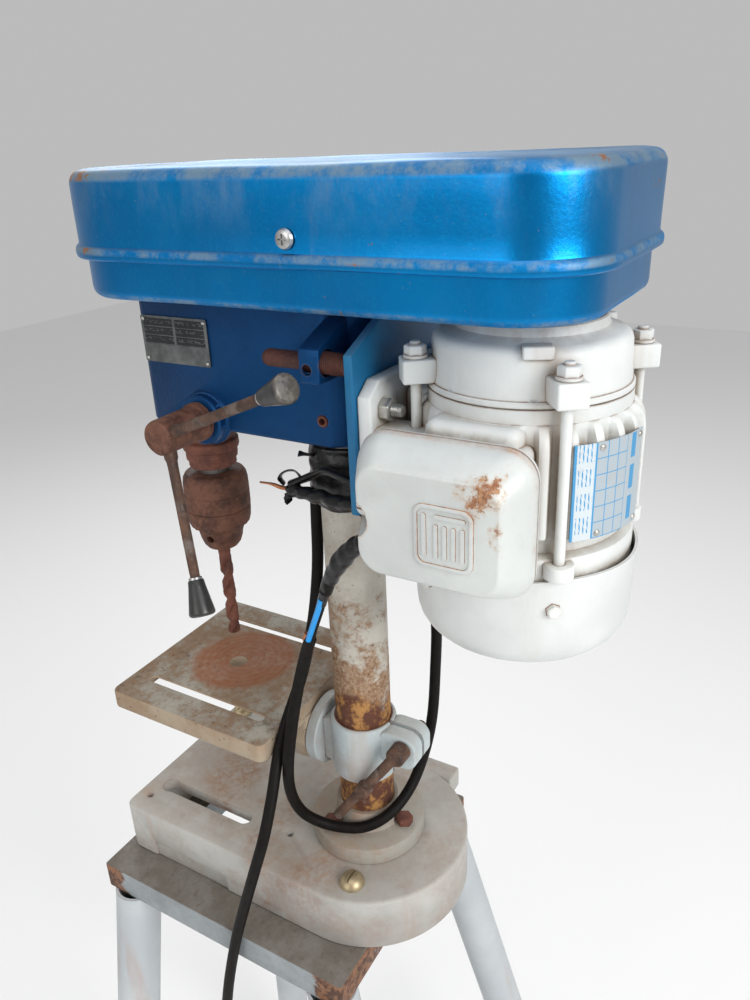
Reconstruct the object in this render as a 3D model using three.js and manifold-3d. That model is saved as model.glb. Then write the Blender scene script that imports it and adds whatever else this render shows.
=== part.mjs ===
// Belt-driven drill press bolted on a four-legged tube stand. Millimetres, +Z up, -Y is the operator's side.
// The press is drawn about its column axis with Z = 0 on top of the stand, then lifted as one group.
import * as THREE from "three";
import { mergeVertices } from "three/addons/utils/BufferGeometryUtils.js";
import Module from "manifold-3d";

// ---------- driving dimensions ----------
const gap = 0.3; // air between pieces that touch
const wrap = 1; // how far a cutter runs past the face it cuts
const standHeight = 760; // floor to the top of the stand's frame
const columnBack = 40; // column axis behind the middle of the feet

const stand = {
  halfX: 117,
  front: -221,
  rear: 40,
  rail: 38,
  deep: 27,
  wall: 3,
  legR: 21,
  legWall: 2.5,
  legTopX: 102,
  legFootX: 177,
  legTopY: [-198, 20],
  legFootY: [-275, 195],
};
const base = {
  halfX: 87,
  front: -213.5,
  top: 52,
  plate: 10,
  wall: 8,
  archX: 84,
  arch: [-183, -97],
  bossR: 11,
  boltAt: { left: [-69, -199], right: [64, 21] },
};
const m8 = { r: 4, holeR: 4.3, hex: 13, head: 6.5 };
const flange = { r: 49, top: 68, bossR: 28, bossTop: 86, boltR: 36, boltAt: [90, 210, 330] };
const column = { r: 23, wall: 3.5, top: 504 };
const collar = { r: 27.5, low: 119, high: 172, earBack: 58, earHalf: 14, slit: 1.5, boltY: 44, boltZ: 161, linerR: 24.2 };
const knuckle = { r: 31, z: 145, faceY: -40, thick: 10 };
const table = {
  hole: 8,
  halfX: 84.2,
  front: -205,
  rear: -42,
  top: 181,
  skirt: 17.5,
  plate: 9,
  wall: 7,
  slotX: 55,
  slotHalf: 4.25,
};
const head = { halfX: 35, front: -157.5, low: 418, high: 519, rearR: 31, noseR: 26 };
const spindle = { y: -131.5, r: 8, quillR: 20, chuckR: 26.6, drillR: 5.2, tip: 211, travel: 50 };
const hub = { y: -98.8, z: 427, r: 12.8, end: 88, bossR: 18.5, pinionR: 11.4, leverX: 78 };
const lever = { r: 3.6, knobLength: 25.5, knobSmallR: 5.6, knobR: 9.2, ends: [[112, 34.4, 484], [112, -55, 312]] };
const rod = { x: 57, z: 484, r: 7, threadR: 8.5, tip: -23, blockX: 67, blockY: [9.5, 24.5], blockZ: [472, 494] };
const mountPlate = { y: [41, 47], halfX: 65, low: 388, high: 507, shoulder: 492, topHalfX: 30 };
const motor = {
  y: 133.8,
  r: 65,
  finR: 71,
  fins: 20,
  low: 380,
  high: 470,
  shieldR: 60.5,
  shieldTop: 512,
  lugR: 70.1,
  lugZ: [474.5, 489],
  lugAt: { front_right: -53, rear_right: 37, rear_left: 127, front_left: 217 },
};
const mount = { footBack: 57, boltX: 47, boltZ: 456 };
const tapeBundle = { r: 32.3, low: 366, high: 414 };
const cowl = { r: 71, wall: 1.5, rim: 366, waist: 322, low: 298 };
const guard = {
  halfX: 92.2,
  front: -173.7,
  rear: 193.4,
  frontR: 60,
  rearR: 49,
  low: 519.5,
  seam: 545,
  side: 592.7,
  top: 598.7,
  panInset: 4,
  screwAt: [26.3, 561],
};
const pulley = { low: 532, step: 13, spindleR: [33, 28, 23, 18], motorR: [23, 28, 33, 38], beltStep: 1 };
const cord = { r: 4.6, sides: 8 };
const terminal = { y: [67.5, 174], z: [372, 460], r: 18, faceY: [78, 163], faceZ: [383, 447], faceR: 14 };
const gland = { x: 84, y: 71.8, z: 390, r: 6, out: 0.8, down: 0.6 };

const colours = {
  blue: 0x1769a8,
  deepBlue: 0x154a80,
  pale: 0xc9cdca,
  grey: 0x9aa0a0,
  rust: 0x5a3426,
  steel: 0x8f8f8c,
  black: 0x1c1c1e,
  brass: 0xb08d4a,
};

const press = new THREE.Group();
press.position.set(0, columnBack, standHeight);

// ---------- solid tools ----------
const wasm = await Module();
wasm.setup();

// A closed three.js geometry as a solid, facing out whichever way it was wound.
function solid(geometry) {
  const plain = geometry.index ? geometry.toNonIndexed() : geometry.clone();
  plain.deleteAttribute("normal");
  plain.deleteAttribute("uv");
  const welded = mergeVertices(plain, 1e-3);
  const corners = welded.index.array;
  const kept = [];
  for (let i = 0; i < corners.length; i += 3) {
    const [a, b, c] = [corners[i], corners[i + 1], corners[i + 2]];
    if (a !== b && b !== c && c !== a) kept.push(a, b, c);
  }
  const vertProperties = welded.attributes.position.array;
  const made = new wasm.Manifold(
    new wasm.Mesh({ numProp: 3, vertProperties, triVerts: new Uint32Array(kept) }),
  );
  if (made.volume() > 0) return made;
  for (let i = 0; i < kept.length; i += 3) [kept[i + 1], kept[i + 2]] = [kept[i + 2], kept[i + 1]];
  return new wasm.Manifold(new wasm.Mesh({ numProp: 3, vertProperties, triVerts: new Uint32Array(kept) }));
}

const join = (first, ...rest) => rest.reduce((whole, piece) => whole.add(piece), first);
const cut = (first, ...rest) => rest.reduce((whole, piece) => whole.subtract(piece), first);

function box(x0, x1, y0, y1, z0, z1) {
  const geometry = new THREE.BoxGeometry(x1 - x0, y1 - y0, z1 - z0);
  geometry.translate((x0 + x1) / 2, (y0 + y1) / 2, (z0 + z1) / 2);
  return solid(geometry);
}

function extruded(shape, depth, curveSegments) {
  return new THREE.ExtrudeGeometry(shape, { depth, bevelEnabled: false, curveSegments });
}

// A flat outline pushed along one axis: its own x and y become the other two axes in X, Y, Z order.
function prismZ(shape, z0, z1, curveSegments = 8) {
  return solid(extruded(shape, z1 - z0, curveSegments).translate(0, 0, z0));
}

function prismX(shape, x0, x1, curveSegments = 8) {
  const turn = new THREE.Matrix4().set(0, 0, 1, x0, 1, 0, 0, 0, 0, 1, 0, 0, 0, 0, 0, 1);
  return solid(extruded(shape, x1 - x0, curveSegments).applyMatrix4(turn));
}

function prismY(shape, y0, y1, curveSegments = 8) {
  const turn = new THREE.Matrix4().set(1, 0, 0, 0, 0, 0, -1, y1, 0, 1, 0, 0, 0, 0, 0, 1);
  return solid(extruded(shape, y1 - y0, curveSegments).applyMatrix4(turn));
}

const outline = (points) => new THREE.Shape(points.map(([x, y]) => new THREE.Vector2(x, y)));

function roundRect(x0, x1, y0, y1, r) {
  const shape = new THREE.Shape();
  shape.moveTo(x0 + r, y0);
  shape.lineTo(x1 - r, y0);
  shape.absarc(x1 - r, y0 + r, r, -Math.PI / 2, 0, false);
  shape.lineTo(x1, y1 - r);
  shape.absarc(x1 - r, y1 - r, r, 0, Math.PI / 2, false);
  shape.lineTo(x0 + r, y1);
  shape.absarc(x0 + r, y1 - r, r, Math.PI / 2, Math.PI, false);
  shape.lineTo(x0, y0 + r);
  shape.absarc(x0 + r, y0 + r, r, Math.PI, Math.PI * 1.5, false);
  return shape;
}

function hexagon(acrossFlats) {
  const r = acrossFlats / Math.sqrt(3);
  return outline(
    Array.from({ length: 6 }, (_, i) => [r * Math.cos((i * Math.PI) / 3), r * Math.sin((i * Math.PI) / 3)]),
  );
}

// A profile of [radius, height] points turned about a line through "at" along "axis".
function turned(profile, sides, at = [0, 0, 0], axis = "z") {
  const geometry = new THREE.LatheGeometry(
    profile.map(([r, h]) => new THREE.Vector2(r, h)),
    sides,
  );
  if (axis === "z") geometry.rotateX(Math.PI / 2);
  if (axis === "x") geometry.rotateZ(-Math.PI / 2);
  return solid(geometry.translate(...at));
}

const disc = (r, h0, h1, sides, at, axis) =>
  turned([[0, h0], [r, h0], [r, h1], [0, h1]], sides, at, axis);

const tube = (r0, r1, h0, h1, sides, at, axis) =>
  turned([[r0, h0], [r1, h0], [r1, h1], [r0, h1], [r0, h0]], sides, at, axis);

// A bar whose radius goes from r0 at "from" to r1 at "to".
function bar(from, to, r0, r1 = r0, sides = 14) {
  const a = new THREE.Vector3(...from);
  const b = new THREE.Vector3(...to);
  const geometry = new THREE.CylinderGeometry(r1, r0, a.distanceTo(b), sides);
  const way = b.clone().sub(a).normalize();
  geometry.applyQuaternion(new THREE.Quaternion().setFromUnitVectors(new THREE.Vector3(0, 1, 0), way));
  geometry.translate(...a.add(b).multiplyScalar(0.5).toArray());
  return solid(geometry);
}

// A solid skinned over closed outlines of equal length, given lowest first as arrays of [x, y, z].
function loft(levels) {
  const n = levels[0].length;
  const positions = levels.flat(2);
  const index = [];
  for (let k = 0; k + 1 < levels.length; k++)
    for (let i = 0; i < n; i++) {
      const [a, b] = [k * n + i, k * n + ((i + 1) % n)];
      index.push(a, b, b + n, a, b + n, a + n);
    }
  const last = (levels.length - 1) * n;
  for (let i = 1; i + 1 < n; i++) index.push(0, i + 1, i, last, last + i, last + i + 1);
  const geometry = new THREE.BufferGeometry();
  geometry.setAttribute("position", new THREE.Float32BufferAttribute(positions, 3));
  geometry.setIndex(index);
  return solid(geometry);
}

function add(name, made, colour) {
  const skin = made.getMesh();
  const geometry = new THREE.BufferGeometry();
  geometry.setAttribute("position", new THREE.BufferAttribute(new Float32Array(skin.vertProperties), 3));
  geometry.setIndex(new THREE.BufferAttribute(new Uint32Array(skin.triVerts), 1));
  geometry.computeVertexNormals();
  const mesh = new THREE.Mesh(geometry, new THREE.MeshStandardMaterial({ color: colours[colour] }));
  mesh.name = name;
  press.add(mesh);
}

const ring = (r, degrees) => [
  r * Math.cos((degrees * Math.PI) / 180),
  r * Math.sin((degrees * Math.PI) / 180),
];

// ---------- stand ----------
function standFrame() {
  const { halfX, front, rear, rail, deep, wall } = stand;
  const outer = roundRect(-halfX, halfX, front, rear, 3);
  outer.holes.push(roundRect(-halfX + rail, halfX - rail, front + rail, rear - rail, 2));
  const groove = roundRect(-halfX + wall, halfX - wall, front + wall, rear - wall, 1);
  groove.holes.push(
    roundRect(-halfX + rail - wall, halfX - rail + wall, front + rail - wall, rear - rail + wall, 1),
  );
  let made = cut(prismZ(outer, -deep, 0, 2), prismZ(groove, -deep - wrap, -wall, 2));
  for (const side of [-1, 1]) {
    const x0 = side < 0 ? -halfX + 1 : halfX - rail + 1;
    for (const y0 of [front + 1, rear - rail + 1])
      made = join(made, box(x0, x0 + rail - 2, y0, y0 + rail - 2, -deep, -deep + wall));
  }
  for (const at of Object.values(base.boltAt)) made = cut(made, disc(4.5, -deep, wrap, 12, [...at, 0]));
  add("stand_frame", made, "grey");
}

// A leg is a level ring swept down a slope, so both its ends are flat.
function standLeg(name, side, row) {
  const shape = new THREE.Shape().absarc(0, 0, stand.legR, 0, Math.PI * 2);
  shape.holes.push(new THREE.Path().absarc(0, 0, stand.legR - stand.legWall, 0, Math.PI * 2));
  const length = standHeight - stand.deep - gap;
  const slope = new THREE.Matrix4().set(
    1, 0, (side * (stand.legTopX - stand.legFootX)) / length, side * stand.legFootX,
    0, 1, (stand.legTopY[row] - stand.legFootY[row]) / length, stand.legFootY[row],
    0, 0, 1, -standHeight,
    0, 0, 0, 1,
  );
  add(name, solid(extruded(shape, length, 16).applyMatrix4(slope)), "grey");
}

// ---------- base ----------
function baseOutline(inset) {
  const shape = new THREE.Shape();
  const [half, front, corner] = [base.halfX - inset, base.front + inset, 8];
  shape.moveTo(-half + corner, front);
  shape.lineTo(half - corner, front);
  shape.absarc(half - corner, front + corner, corner, -Math.PI / 2, 0, false);
  shape.lineTo(half, 0);
  shape.absarc(0, 0, half, 0, Math.PI, false);
  shape.lineTo(-half, front + corner);
  shape.absarc(-half + corner, front + corner, corner, Math.PI, Math.PI * 1.5, false);
  return shape;
}

// A slot along Y whose front end widens into a round hole for a bolt head.
function keyhole(x) {
  const [r, halfWidth, y, back] = [8, 6.5, -190, -95];
  const opening = 55;
  const points = [];
  for (let i = 0; i <= 10; i++) {
    const [dx, dy] = ring(r, 90 + opening + (i * (360 - 2 * opening)) / 10);
    points.push([x + dx, y + dy]);
  }
  return outline([...points, [x + halfWidth, back], [x - halfWidth, back]]);
}

const flangeHoles = () => flange.boltAt.map((degrees) => [...ring(flange.boltR, degrees), 0]);

function baseCasting() {
  const { top, plate, wall } = base;
  let made = cut(prismZ(baseOutline(0), gap, top, 14), prismZ(baseOutline(wall), gap - wrap, top - plate, 14));
  made = join(made, disc(flange.r + 2, 20, top - 1, 28), box(-100, -80, 8, 42, top - 22, top));
  for (const at of Object.values(base.boltAt)) made = join(made, disc(base.bossR, gap, top - 1, 16, [...at, 0]));
  made = cut(
    made,
    ...[-1, 1].map((side) => box(side * base.archX, side * 120, ...base.arch, gap - wrap, 19)),
    disc(column.r - column.wall, 19, top + wrap, 24),
    prismZ(keyhole(-50), 30, top + wrap),
    prismZ(keyhole(50), 30, top + wrap),
    disc(3, 30, top + wrap, 10, [69, -199, 0]),
    disc(3, 30, top + wrap, 10, [46, -54, 0]),
  );
  for (const at of flangeHoles()) made = cut(made, disc(m8.holeR, 19, top + wrap, 12, at));
  for (const at of Object.values(base.boltAt))
    made = cut(made, disc(m8.holeR, gap - wrap, top + wrap, 12, [...at, 0]));
  add("base_casting", made, "grey");
}

// The nut is tight under the top wall of the stand's rail, and one piece with its bolt.
function baseBolt(name, [x, y]) {
  const z = base.top + gap;
  const nutTop = -stand.wall - gap;
  const deep = stand.wall + 10;
  const profile = [[0, -deep], [m8.r, -deep], [m8.r, z], [9.5, z], [9, z + 3], [6.5, z + 6.5], [0, z + 8]];
  const nut = prismZ(hexagon(m8.hex), nutTop - m8.head, nutTop).translate(x, y, 0);
  const slot = box(x - 10, x + 10, y - 0.8, y + 0.8, z + 6, z + 9);
  add(name, cut(join(turned(profile, 16, [x, y, 0]), nut), slot), "brass");
}

// ---------- column ----------
function columnFlange() {
  const { r, top, bossR, bossTop } = flange;
  const low = base.top + gap;
  const bore = column.r + gap;
  let made = turned(
    [[bore, low], [r, low], [r, top - 1.5], [r - 1.5, top], [bossR + 3, top], [bossR, top + 3],
      [bossR - 2, bossTop], [bore, bossTop], [bore, low]],
    28,
  );
  for (const at of flangeHoles())
    made = cut(made, disc(m8.holeR, low - wrap, top + wrap, 12, at), disc(9, top, top + 12, 16, at));
  add("column_flange", made, "grey");
}

function flangeBolt(name, at) {
  const z = flange.top + gap;
  const made = join(prismZ(hexagon(m8.hex), z, z + m8.head), disc(m8.r, 22, z + 1, 12));
  add(name, made.translate(...at), "rust");
}

function columnTube() {
  add("column", tube(column.r - column.wall, column.r, base.top + gap, column.top, 28), "grey");
}

// ---------- table ----------
function tableBracket() {
  const { r, low, high, earBack, earHalf, slit, boltY, boltZ } = collar;
  const bore = collar.linerR + gap;
  const ears = prismX(roundRect(20, earBack, 132, high - 1, 10), -earHalf, earHalf, 4);
  const arm = prismX(outline([[-16, low + 4], [-33, 128], [-33, 168], [-16, high - 4]]), -17, 17);
  const face = disc(knuckle.r, knuckle.faceY, knuckle.faceY + knuckle.thick, 28, [0, 0, knuckle.z], "y");
  let made = join(turned([[0, low], [r, low], [r, high - 3], [r - 2, high], [0, high]], 28), ears, arm, face);
  made = cut(
    made,
    disc(bore, low - wrap, high + wrap, 28),
    box(-slit, slit, column.r - 4, earBack + wrap, low - wrap, high + wrap),
    disc(4.4, -earHalf - wrap, earHalf + wrap, 12, [0, boltY, boltZ], "x"),
    disc(5.3, knuckle.faceY - wrap, -25.5, 14, [0, 0, knuckle.z], "y"),
  );
  add("table_bracket", made, "grey");
}

// A thin sleeve that the bracket turns on while both slide up the column together.
function collarLiner() {
  add("collar_liner", tube(column.r + gap, collar.linerR, collar.low + 1, collar.high - 1, 24), "steel");
}

function tableCasting() {
  const { halfX, front, rear, top, skirt, plate, wall, slotX, slotHalf } = table;
  const low = top - skirt;
  const hang = knuckle.faceY - gap;
  let made = cut(
    prismZ(roundRect(-halfX, halfX, front, rear, 6), low, top, 3),
    prismZ(roundRect(-halfX + wall, halfX - wall, front + wall, rear - wall, 3), low - wrap, top - plate, 2),
  );
  const lug = outline([
    [-26, low + 6], [-knuckle.r, knuckle.z], [-22, 123], [0, 114], [22, 123], [knuckle.r, knuckle.z], [26, low + 6],
  ]);
  made = join(made, prismY(lug, hang - 16, hang), box(-26, 26, hang - 16, rear - 0.5, low, top - plate + 1));
  for (const side of [-1, 1]) {
    made = join(made, box(side * slotX - 9, side * slotX + 9, -196, -52, top - plate - 3, top - plate + 1));
    const slot = roundRect(side * slotX - slotHalf, side * slotX + slotHalf, -186, -61, slotHalf - 0.05);
    made = cut(made, prismZ(slot, low, top + wrap, 4));
  }
  made = join(made, disc(16, low + 3, top - plate + 1, 20, [0, spindle.y, 0]));
  made = cut(
    made,
    disc(table.hole, low - wrap, top + wrap, 20, [0, spindle.y, 0]),
    disc(5.3, hang - 18, hang + wrap, 14, [0, 0, knuckle.z], "y"),
  );
  add("table", made, "grey");
}

function tiltBolt() {
  const face = knuckle.faceY - gap * 2 - 16;
  const made = join(
    prismY(hexagon(17), face - 7, face).translate(0, 0, knuckle.z),
    disc(5, face - 1, -26, 14, [0, 0, knuckle.z], "y"),
  );
  add("tilt_bolt", made, "rust");
}

function clampScrew() {
  const { earHalf, boltY, boltZ } = collar;
  const out = earHalf + gap;
  const made = join(
    disc(4, -out - 7, out + 3, 12, [0, boltY, boltZ], "x"),
    disc(8, out, out + 14, 16, [0, boltY, boltZ], "x"),
    bar([24, boltY, boltZ], [37, -8, 87], 4.3, 4.3, 12),
  );
  add("clamp_lever", made, "rust");
}

// ---------- head ----------
function headCasting() {
  const { halfX, front, low, high, rearR, noseR } = head;
  const plan = outline([
    [-halfX + 9, front], [halfX - 9, front], [halfX - 3, front + 2.5], [halfX, front + 9], [halfX, 8],
    [27, 22], [15, rearR], [-15, rearR], [-27, 22], [-halfX, 8], [-halfX, front + 9], [-halfX + 3, front + 2.5],
  ]);
  let made = join(prismZ(plan, low, high), disc(noseR, low - 6, low + 2, 28, [0, spindle.y, 0]));
  for (const side of [-1, 1]) {
    const lock = prismY(
      outline([
        [side * (halfX - 4), rod.blockZ[0] + 4], [side * (halfX + 5), rod.blockZ[0]],
        [side * rod.blockX, rod.blockZ[0]], [side * rod.blockX, rod.blockZ[1]],
        [side * (halfX + 10), 503], [side * (halfX - 4), 508],
      ]),
      ...rod.blockY,
    );
    made = join(made, lock);
  }
  made = join(made, disc(hub.bossR, halfX - 2, halfX + 9, 28, [0, hub.y, hub.z], "x"));
  made = cut(
    made,
    disc(column.r + gap, low - wrap, column.top + gap, 28),
    disc(spindle.quillR + gap, low - 8, high - 14, 24, [0, spindle.y, 0]),
    disc(11, high - 16, high + wrap, 24, [0, spindle.y, 0]),
    disc(hub.pinionR + gap, -15, halfX + 12, 24, [0, hub.y, hub.z], "x"),
    disc(8.3, -halfX - wrap, 0, 20, [0, hub.y, hub.z], "x"),
    prismZ(roundRect(-halfX + 8, halfX - 8, -77, -33, 5), low - wrap, high - 10, 2),
    disc(4.3, halfX - 13, halfX + wrap, 12, [0, 3, 437], "x"),
  );
  for (const side of [-1, 1]) {
    const [front, back] = [rod.blockY[0] - wrap, rod.blockY[1] + wrap];
    made = cut(
      made,
      disc(rod.threadR + gap, front, back, 18, [side * rod.x, 0, rod.z], "y"),
      disc(3.2, rod.x, rod.blockX + wrap, 10, [0, 15.5, rod.z - 3], "x").scale([side, 1, 1]),
    );
  }
  add("head_casting", made, "deepBlue");
}

function dataPlate() {
  const x = head.halfX + gap;
  add("data_plate", box(x, x + 0.8, -151, -89, 465, 499), "steel");
}

function lockScrew() {
  const x = head.halfX;
  const made = cut(
    disc(4, column.r + 2, x + 1, 16, [0, 3, 437], "x"),
    prismX(hexagon(4.4), x - 3, x + 2).translate(0, 3, 437),
  );
  add("head_lock_screw", made, "rust");
}

function springCap() {
  const x = -head.halfX - gap;
  const made = turned(
    [[0, x - 20], [20, x - 20], [24, x - 16], [24, x], [8.6, x], [8.6, x - 16], [0, x - 16]],
    28,
    [0, hub.y, hub.z],
    "x",
  );
  add("return_spring_cap", made, "deepBlue");
}

// ---------- feed, quill and spindle ----------
function feedHub() {
  const { r, end, pinionR } = hub;
  const out = head.halfX + 9 + gap;
  const made = turned(
    [[0, -50], [8, -50], [8, -14.5], [pinionR, -14.5], [pinionR, out], [r + 1.5, out], [r + 1.5, out + 6],
      [r, out + 7], [r, end - 1.5], [r - 1.5, end], [0, end]],
    24,
    [0, hub.y, hub.z],
    "x",
  );
  add("feed_hub", made, "rust");
}

// Each lever runs from the hub's skin out to its own knob end.
function feedLever(number, end) {
  const axis = new THREE.Vector3(hub.leverX, hub.y, hub.z);
  const tip = new THREE.Vector3(...end);
  const way = tip.clone().sub(axis).normalize();
  const along = (distance) => axis.clone().addScaledVector(way, distance).toArray();
  const length = axis.distanceTo(tip);
  const knobFrom = length - lever.knobLength;
  add("feed_lever_" + number, bar(along(hub.r + 2), along(knobFrom - gap), lever.r), "rust");
  const knob = join(
    bar(along(knobFrom), along(length - 4), lever.knobSmallR, lever.knobR, 18),
    bar(along(length - 4), along(length), lever.knobR, lever.knobR - 2.5, 18),
  );
  add("knob_" + number, knob, "black");
}

function quill() {
  const { quillR, r, y } = spindle;
  const made = turned(
    [[r + gap, 374], [19, 374], [19, 380], [20.5, 380], [20.5, 388], [22.5, 388], [22.5, 396], [quillR, 397],
      [quillR, 500], [r + gap, 500], [r + gap, 374]],
    24,
    [0, y, 0],
  );
  add("quill", made, "rust");
}

function spindleShaft() {
  const { r, y } = spindle;
  const made = turned([[0, 352], [r, 352], [r, 368.3], [12, 368.3], [12, 373.6], [r, 373.6], [r, 588], [0, 588]], 20,
    [0, y, 0]);
  add("spindle", made, "steel");
}

function chuck() {
  const { chuckR, r, y, drillR } = spindle;
  const body = turned(
    [[r + gap, 337], [chuckR, 337], [chuckR, 350], [chuckR - 1, 351], [chuckR, 352], [chuckR - 0.7, 364],
      [chuckR - 4, 368], [r + gap, 368], [r + gap, 337]],
    24,
    [0, y, 0],
  );
  add("chuck_body", body, "rust");
  const jaws = drillR + gap;
  const sleeve = turned(
    [[jaws, 299], [10, 299], [13, 300.5], [15.5, 304], [17.6, 310], [18.8, 316], [20.2, 320], [24.6, 322.5],
      [25.8, 326], [26.5, 332], [chuckR, 336.7], [jaws, 336.7], [jaws, 299]],
    24,
    [0, y, 0],
  );
  add("chuck_sleeve", cut(sleeve, disc(3.6, 14, 30, 10, [0, y, 312.6], "x")), "rust");
}

function drillBit() {
  const { drillR, tip, y } = spindle;
  add("drill_bit", turned([[0, tip], [drillR, tip + 3.4], [drillR, 334], [0, 334]], 14, [0, y, 0]), "rust");
}

// ---------- motor and its slide ----------
function motorPlate() {
  const { halfX, low, high, shoulder, topHalfX } = mountPlate;
  const face = outline([[-halfX, low], [halfX, low], [halfX, shoulder], [topHalfX, high], [-topHalfX, high],
    [-halfX, shoulder]]);
  let made = prismY(face, ...mountPlate.y);
  for (const side of [-1, 1]) {
    const at = [side * mount.boltX, 0, mount.boltZ];
    made = cut(made, disc(4.4, mountPlate.y[0] - wrap, mountPlate.y[1] + wrap, 12, at, "y"));
  }
  add("motor_plate", made, "deepBlue");
}

function slideRod(name, side) {
  const end = mountPlate.y[0] - gap;
  const { r, threadR, tip } = rod;
  const made = turned(
    [[0, tip], [r - 2.5, tip], [r, tip + 3], [r, 6], [threadR, 8], [threadR, end], [0, end]],
    18,
    [side * rod.x, 0, rod.z],
    "y",
  );
  add(name, made, "rust");
}

// A plate bolt and the nut screwed tight on it are one piece.
function plateBolt(name, side, z) {
  const [front, back] = [mountPlate.y[0] - gap, mount.footBack + gap];
  const made = join(
    prismY(hexagon(m8.hex), front - 5, front).translate(side * mount.boltX, 0, z),
    disc(m8.r, front - 1, back + 14, 12, [side * mount.boltX, 0, z], "y"),
    prismY(hexagon(m8.hex), back, back + m8.head).translate(side * mount.boltX, 0, z),
  );
  add(name, made, "steel");
}

// The four lugs that the tie rods pass through, two at each end of the motor.
function lugPlaces() {
  return Object.values(motor.lugAt).map((angle) => {
    const [x, y] = ring(motor.lugR, angle);
    return [x, motor.y + y, 0];
  });
}

function motorFrame() {
  const { r, finR, fins, low, high, y } = motor;
  const points = [];
  for (let i = 0; i < fins; i++)
    for (const [share, radius] of [[0.08, finR], [0.42, finR - 1], [0.75, r]])
      points.push(ring(radius, ((i + share) * 360) / fins));
  const body = prismZ(outline(points), low + 12, 462).translate(0, y, 0);
  let made = join(body, disc(62.3, low, high, 32, [0, y, 0]));
  const foot = prismY(outline([[-62, 390], [62, 390], [62, 466], [50, 475], [-50, 475], [-62, 466]]),
    mountPlate.y[1] + gap, mount.footBack);
  made = join(made, foot, box(-17, 17, 56, y - 50, 392, 462), box(50, 78, y - 38, y + 22, 396, 446));
  for (const at of lugPlaces()) made = join(made, disc(9, low, low + 13, 14, at));
  for (const at of lugPlaces()) made = cut(made, disc(3.7, low + 4, high + wrap, 12, at));
  const bearing = turned([[0, 352], [30, 352], [34, 360], [68.4, 360], [68.4, low + 2], [0, low + 2]], 32, [0, y, 0]);
  made = cut(join(made, bearing), disc(40.6, 388, high + wrap, 24, [0, y, 0]), disc(9.4, 350, 389, 20, [0, y, 0]));
  for (const side of [-1, 1])
    made = cut(made, disc(4.4, 40, 62, 12, [side * mount.boltX, 0, mount.boltZ], "y"));
  add("motor_frame", made, "pale");
}

function topShield() {
  const { high, shieldR, shieldTop, y } = motor;
  const low = high + gap;
  let made = turned(
    [[0, low], [shieldR, low], [shieldR, 500], [shieldR - 3, 503], [46, 506], [44, shieldTop], [0, shieldTop]],
    32,
    [0, y, 0],
  );
  for (const angle of Object.values(motor.lugAt)) {
    const ear = prismZ(roundRect(-13, 9, -9, 9, 3), ...motor.lugZ, 2).translate(motor.lugR, 0, 0);
    made = join(made, ear.rotate([0, 0, angle]).translate(0, y, 0));
  }
  made = cut(made, disc(9.4, low - wrap, shieldTop + wrap, 20, [0, y, 0]));
  for (const at of lugPlaces()) made = cut(made, disc(3.7, low - wrap, motor.lugZ[1] + wrap, 12, at));
  add("motor_top_shield", made, "pale");
}

function tieRod(name, place) {
  const { low, lugZ: [, top] } = motor;
  const made = join(disc(3.3, low + 4.5, top + 10, 12), prismZ(hexagon(12), top + gap, top + 8));
  add(name, made.translate(...place), "pale");
}

function fanCowl() {
  const { r, wall, rim, waist, low } = cowl;
  const made = turned(
    [[r, rim], [r, waist], [r - 3, waist - 10], [r - 11, waist - 18], [50, low + 1], [0, low], [0, low + wall],
      [50, low + wall + 1], [r - 12, waist - 16], [r - 4.5, waist - 9], [r - wall, waist], [r - wall, rim], [r, rim]],
    32,
    [0, motor.y, 0],
  );
  add("fan_cowl", made, "pale");
}

function fan() {
  const hubDisc = tube(9.3, 16, 326, 344, 20);
  let made = join(hubDisc, tube(14, 60, 336, 338.5, 24));
  for (let i = 0; i < 8; i++) made = join(made, box(15, 60, -1, 1, 326, 337).rotate([0, 0, i * 45]));
  add("motor_fan", made.translate(0, motor.y, 0), "black");
}

function rotor() {
  const made = turned([[0, 324], [9, 324], [9, 390], [40, 390], [40, 460], [9, 460], [9, 590], [0, 590]], 28,
    [0, motor.y, 0]);
  add("rotor", made, "steel");
}

// A rounded outline in the Y-Z plane at one X, for the terminal box.
function boxLevel([x, y0, y1, z0, z1, r]) {
  const centres = [[y1 - r, z0 + r, -90], [y1 - r, z1 - r, 0], [y0 + r, z1 - r, 90], [y0 + r, z0 + r, 180]];
  return centres.flatMap(([cy, cz, start]) =>
    Array.from({ length: 6 }, (_, i) => {
      const [dy, dz] = ring(r, start + i * 18);
      return [x, cy + dy, cz + dz];
    }),
  );
}

function terminalBox() {
  const { y, z, r } = terminal;
  const body = loft([
    [78.5, y[0] + 12, y[1] - 12, z[0] + 8, z[1] - 10, r - 6],
    [84, y[0] + 2, y[1] - 2, z[0] + 2, z[1] - 2, r - 2],
    [90, ...y, ...z, r],
  ].map(boxLevel));
  const room = loft([
    [83, y[0] + 10, y[1] - 10, z[0] + 10, z[1] - 10, r - 8],
    [91, y[0] + 8, y[1] - 8, z[0] + 8, z[1] - 8, r - 6],
  ].map(boxLevel));
  const axis = (distance) => [gland.x, gland.y - distance * gland.out, gland.z - distance * gland.down];
  const collarOut = bar(axis(-5), axis(5), gland.r, gland.r, 16);
  const leadHole = bar(axis(-12), axis(8), cord.r + gap, cord.r + gap, 14);
  add("terminal_box", cut(join(body, collarOut), room, leadHole), "pale");
}

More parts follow.
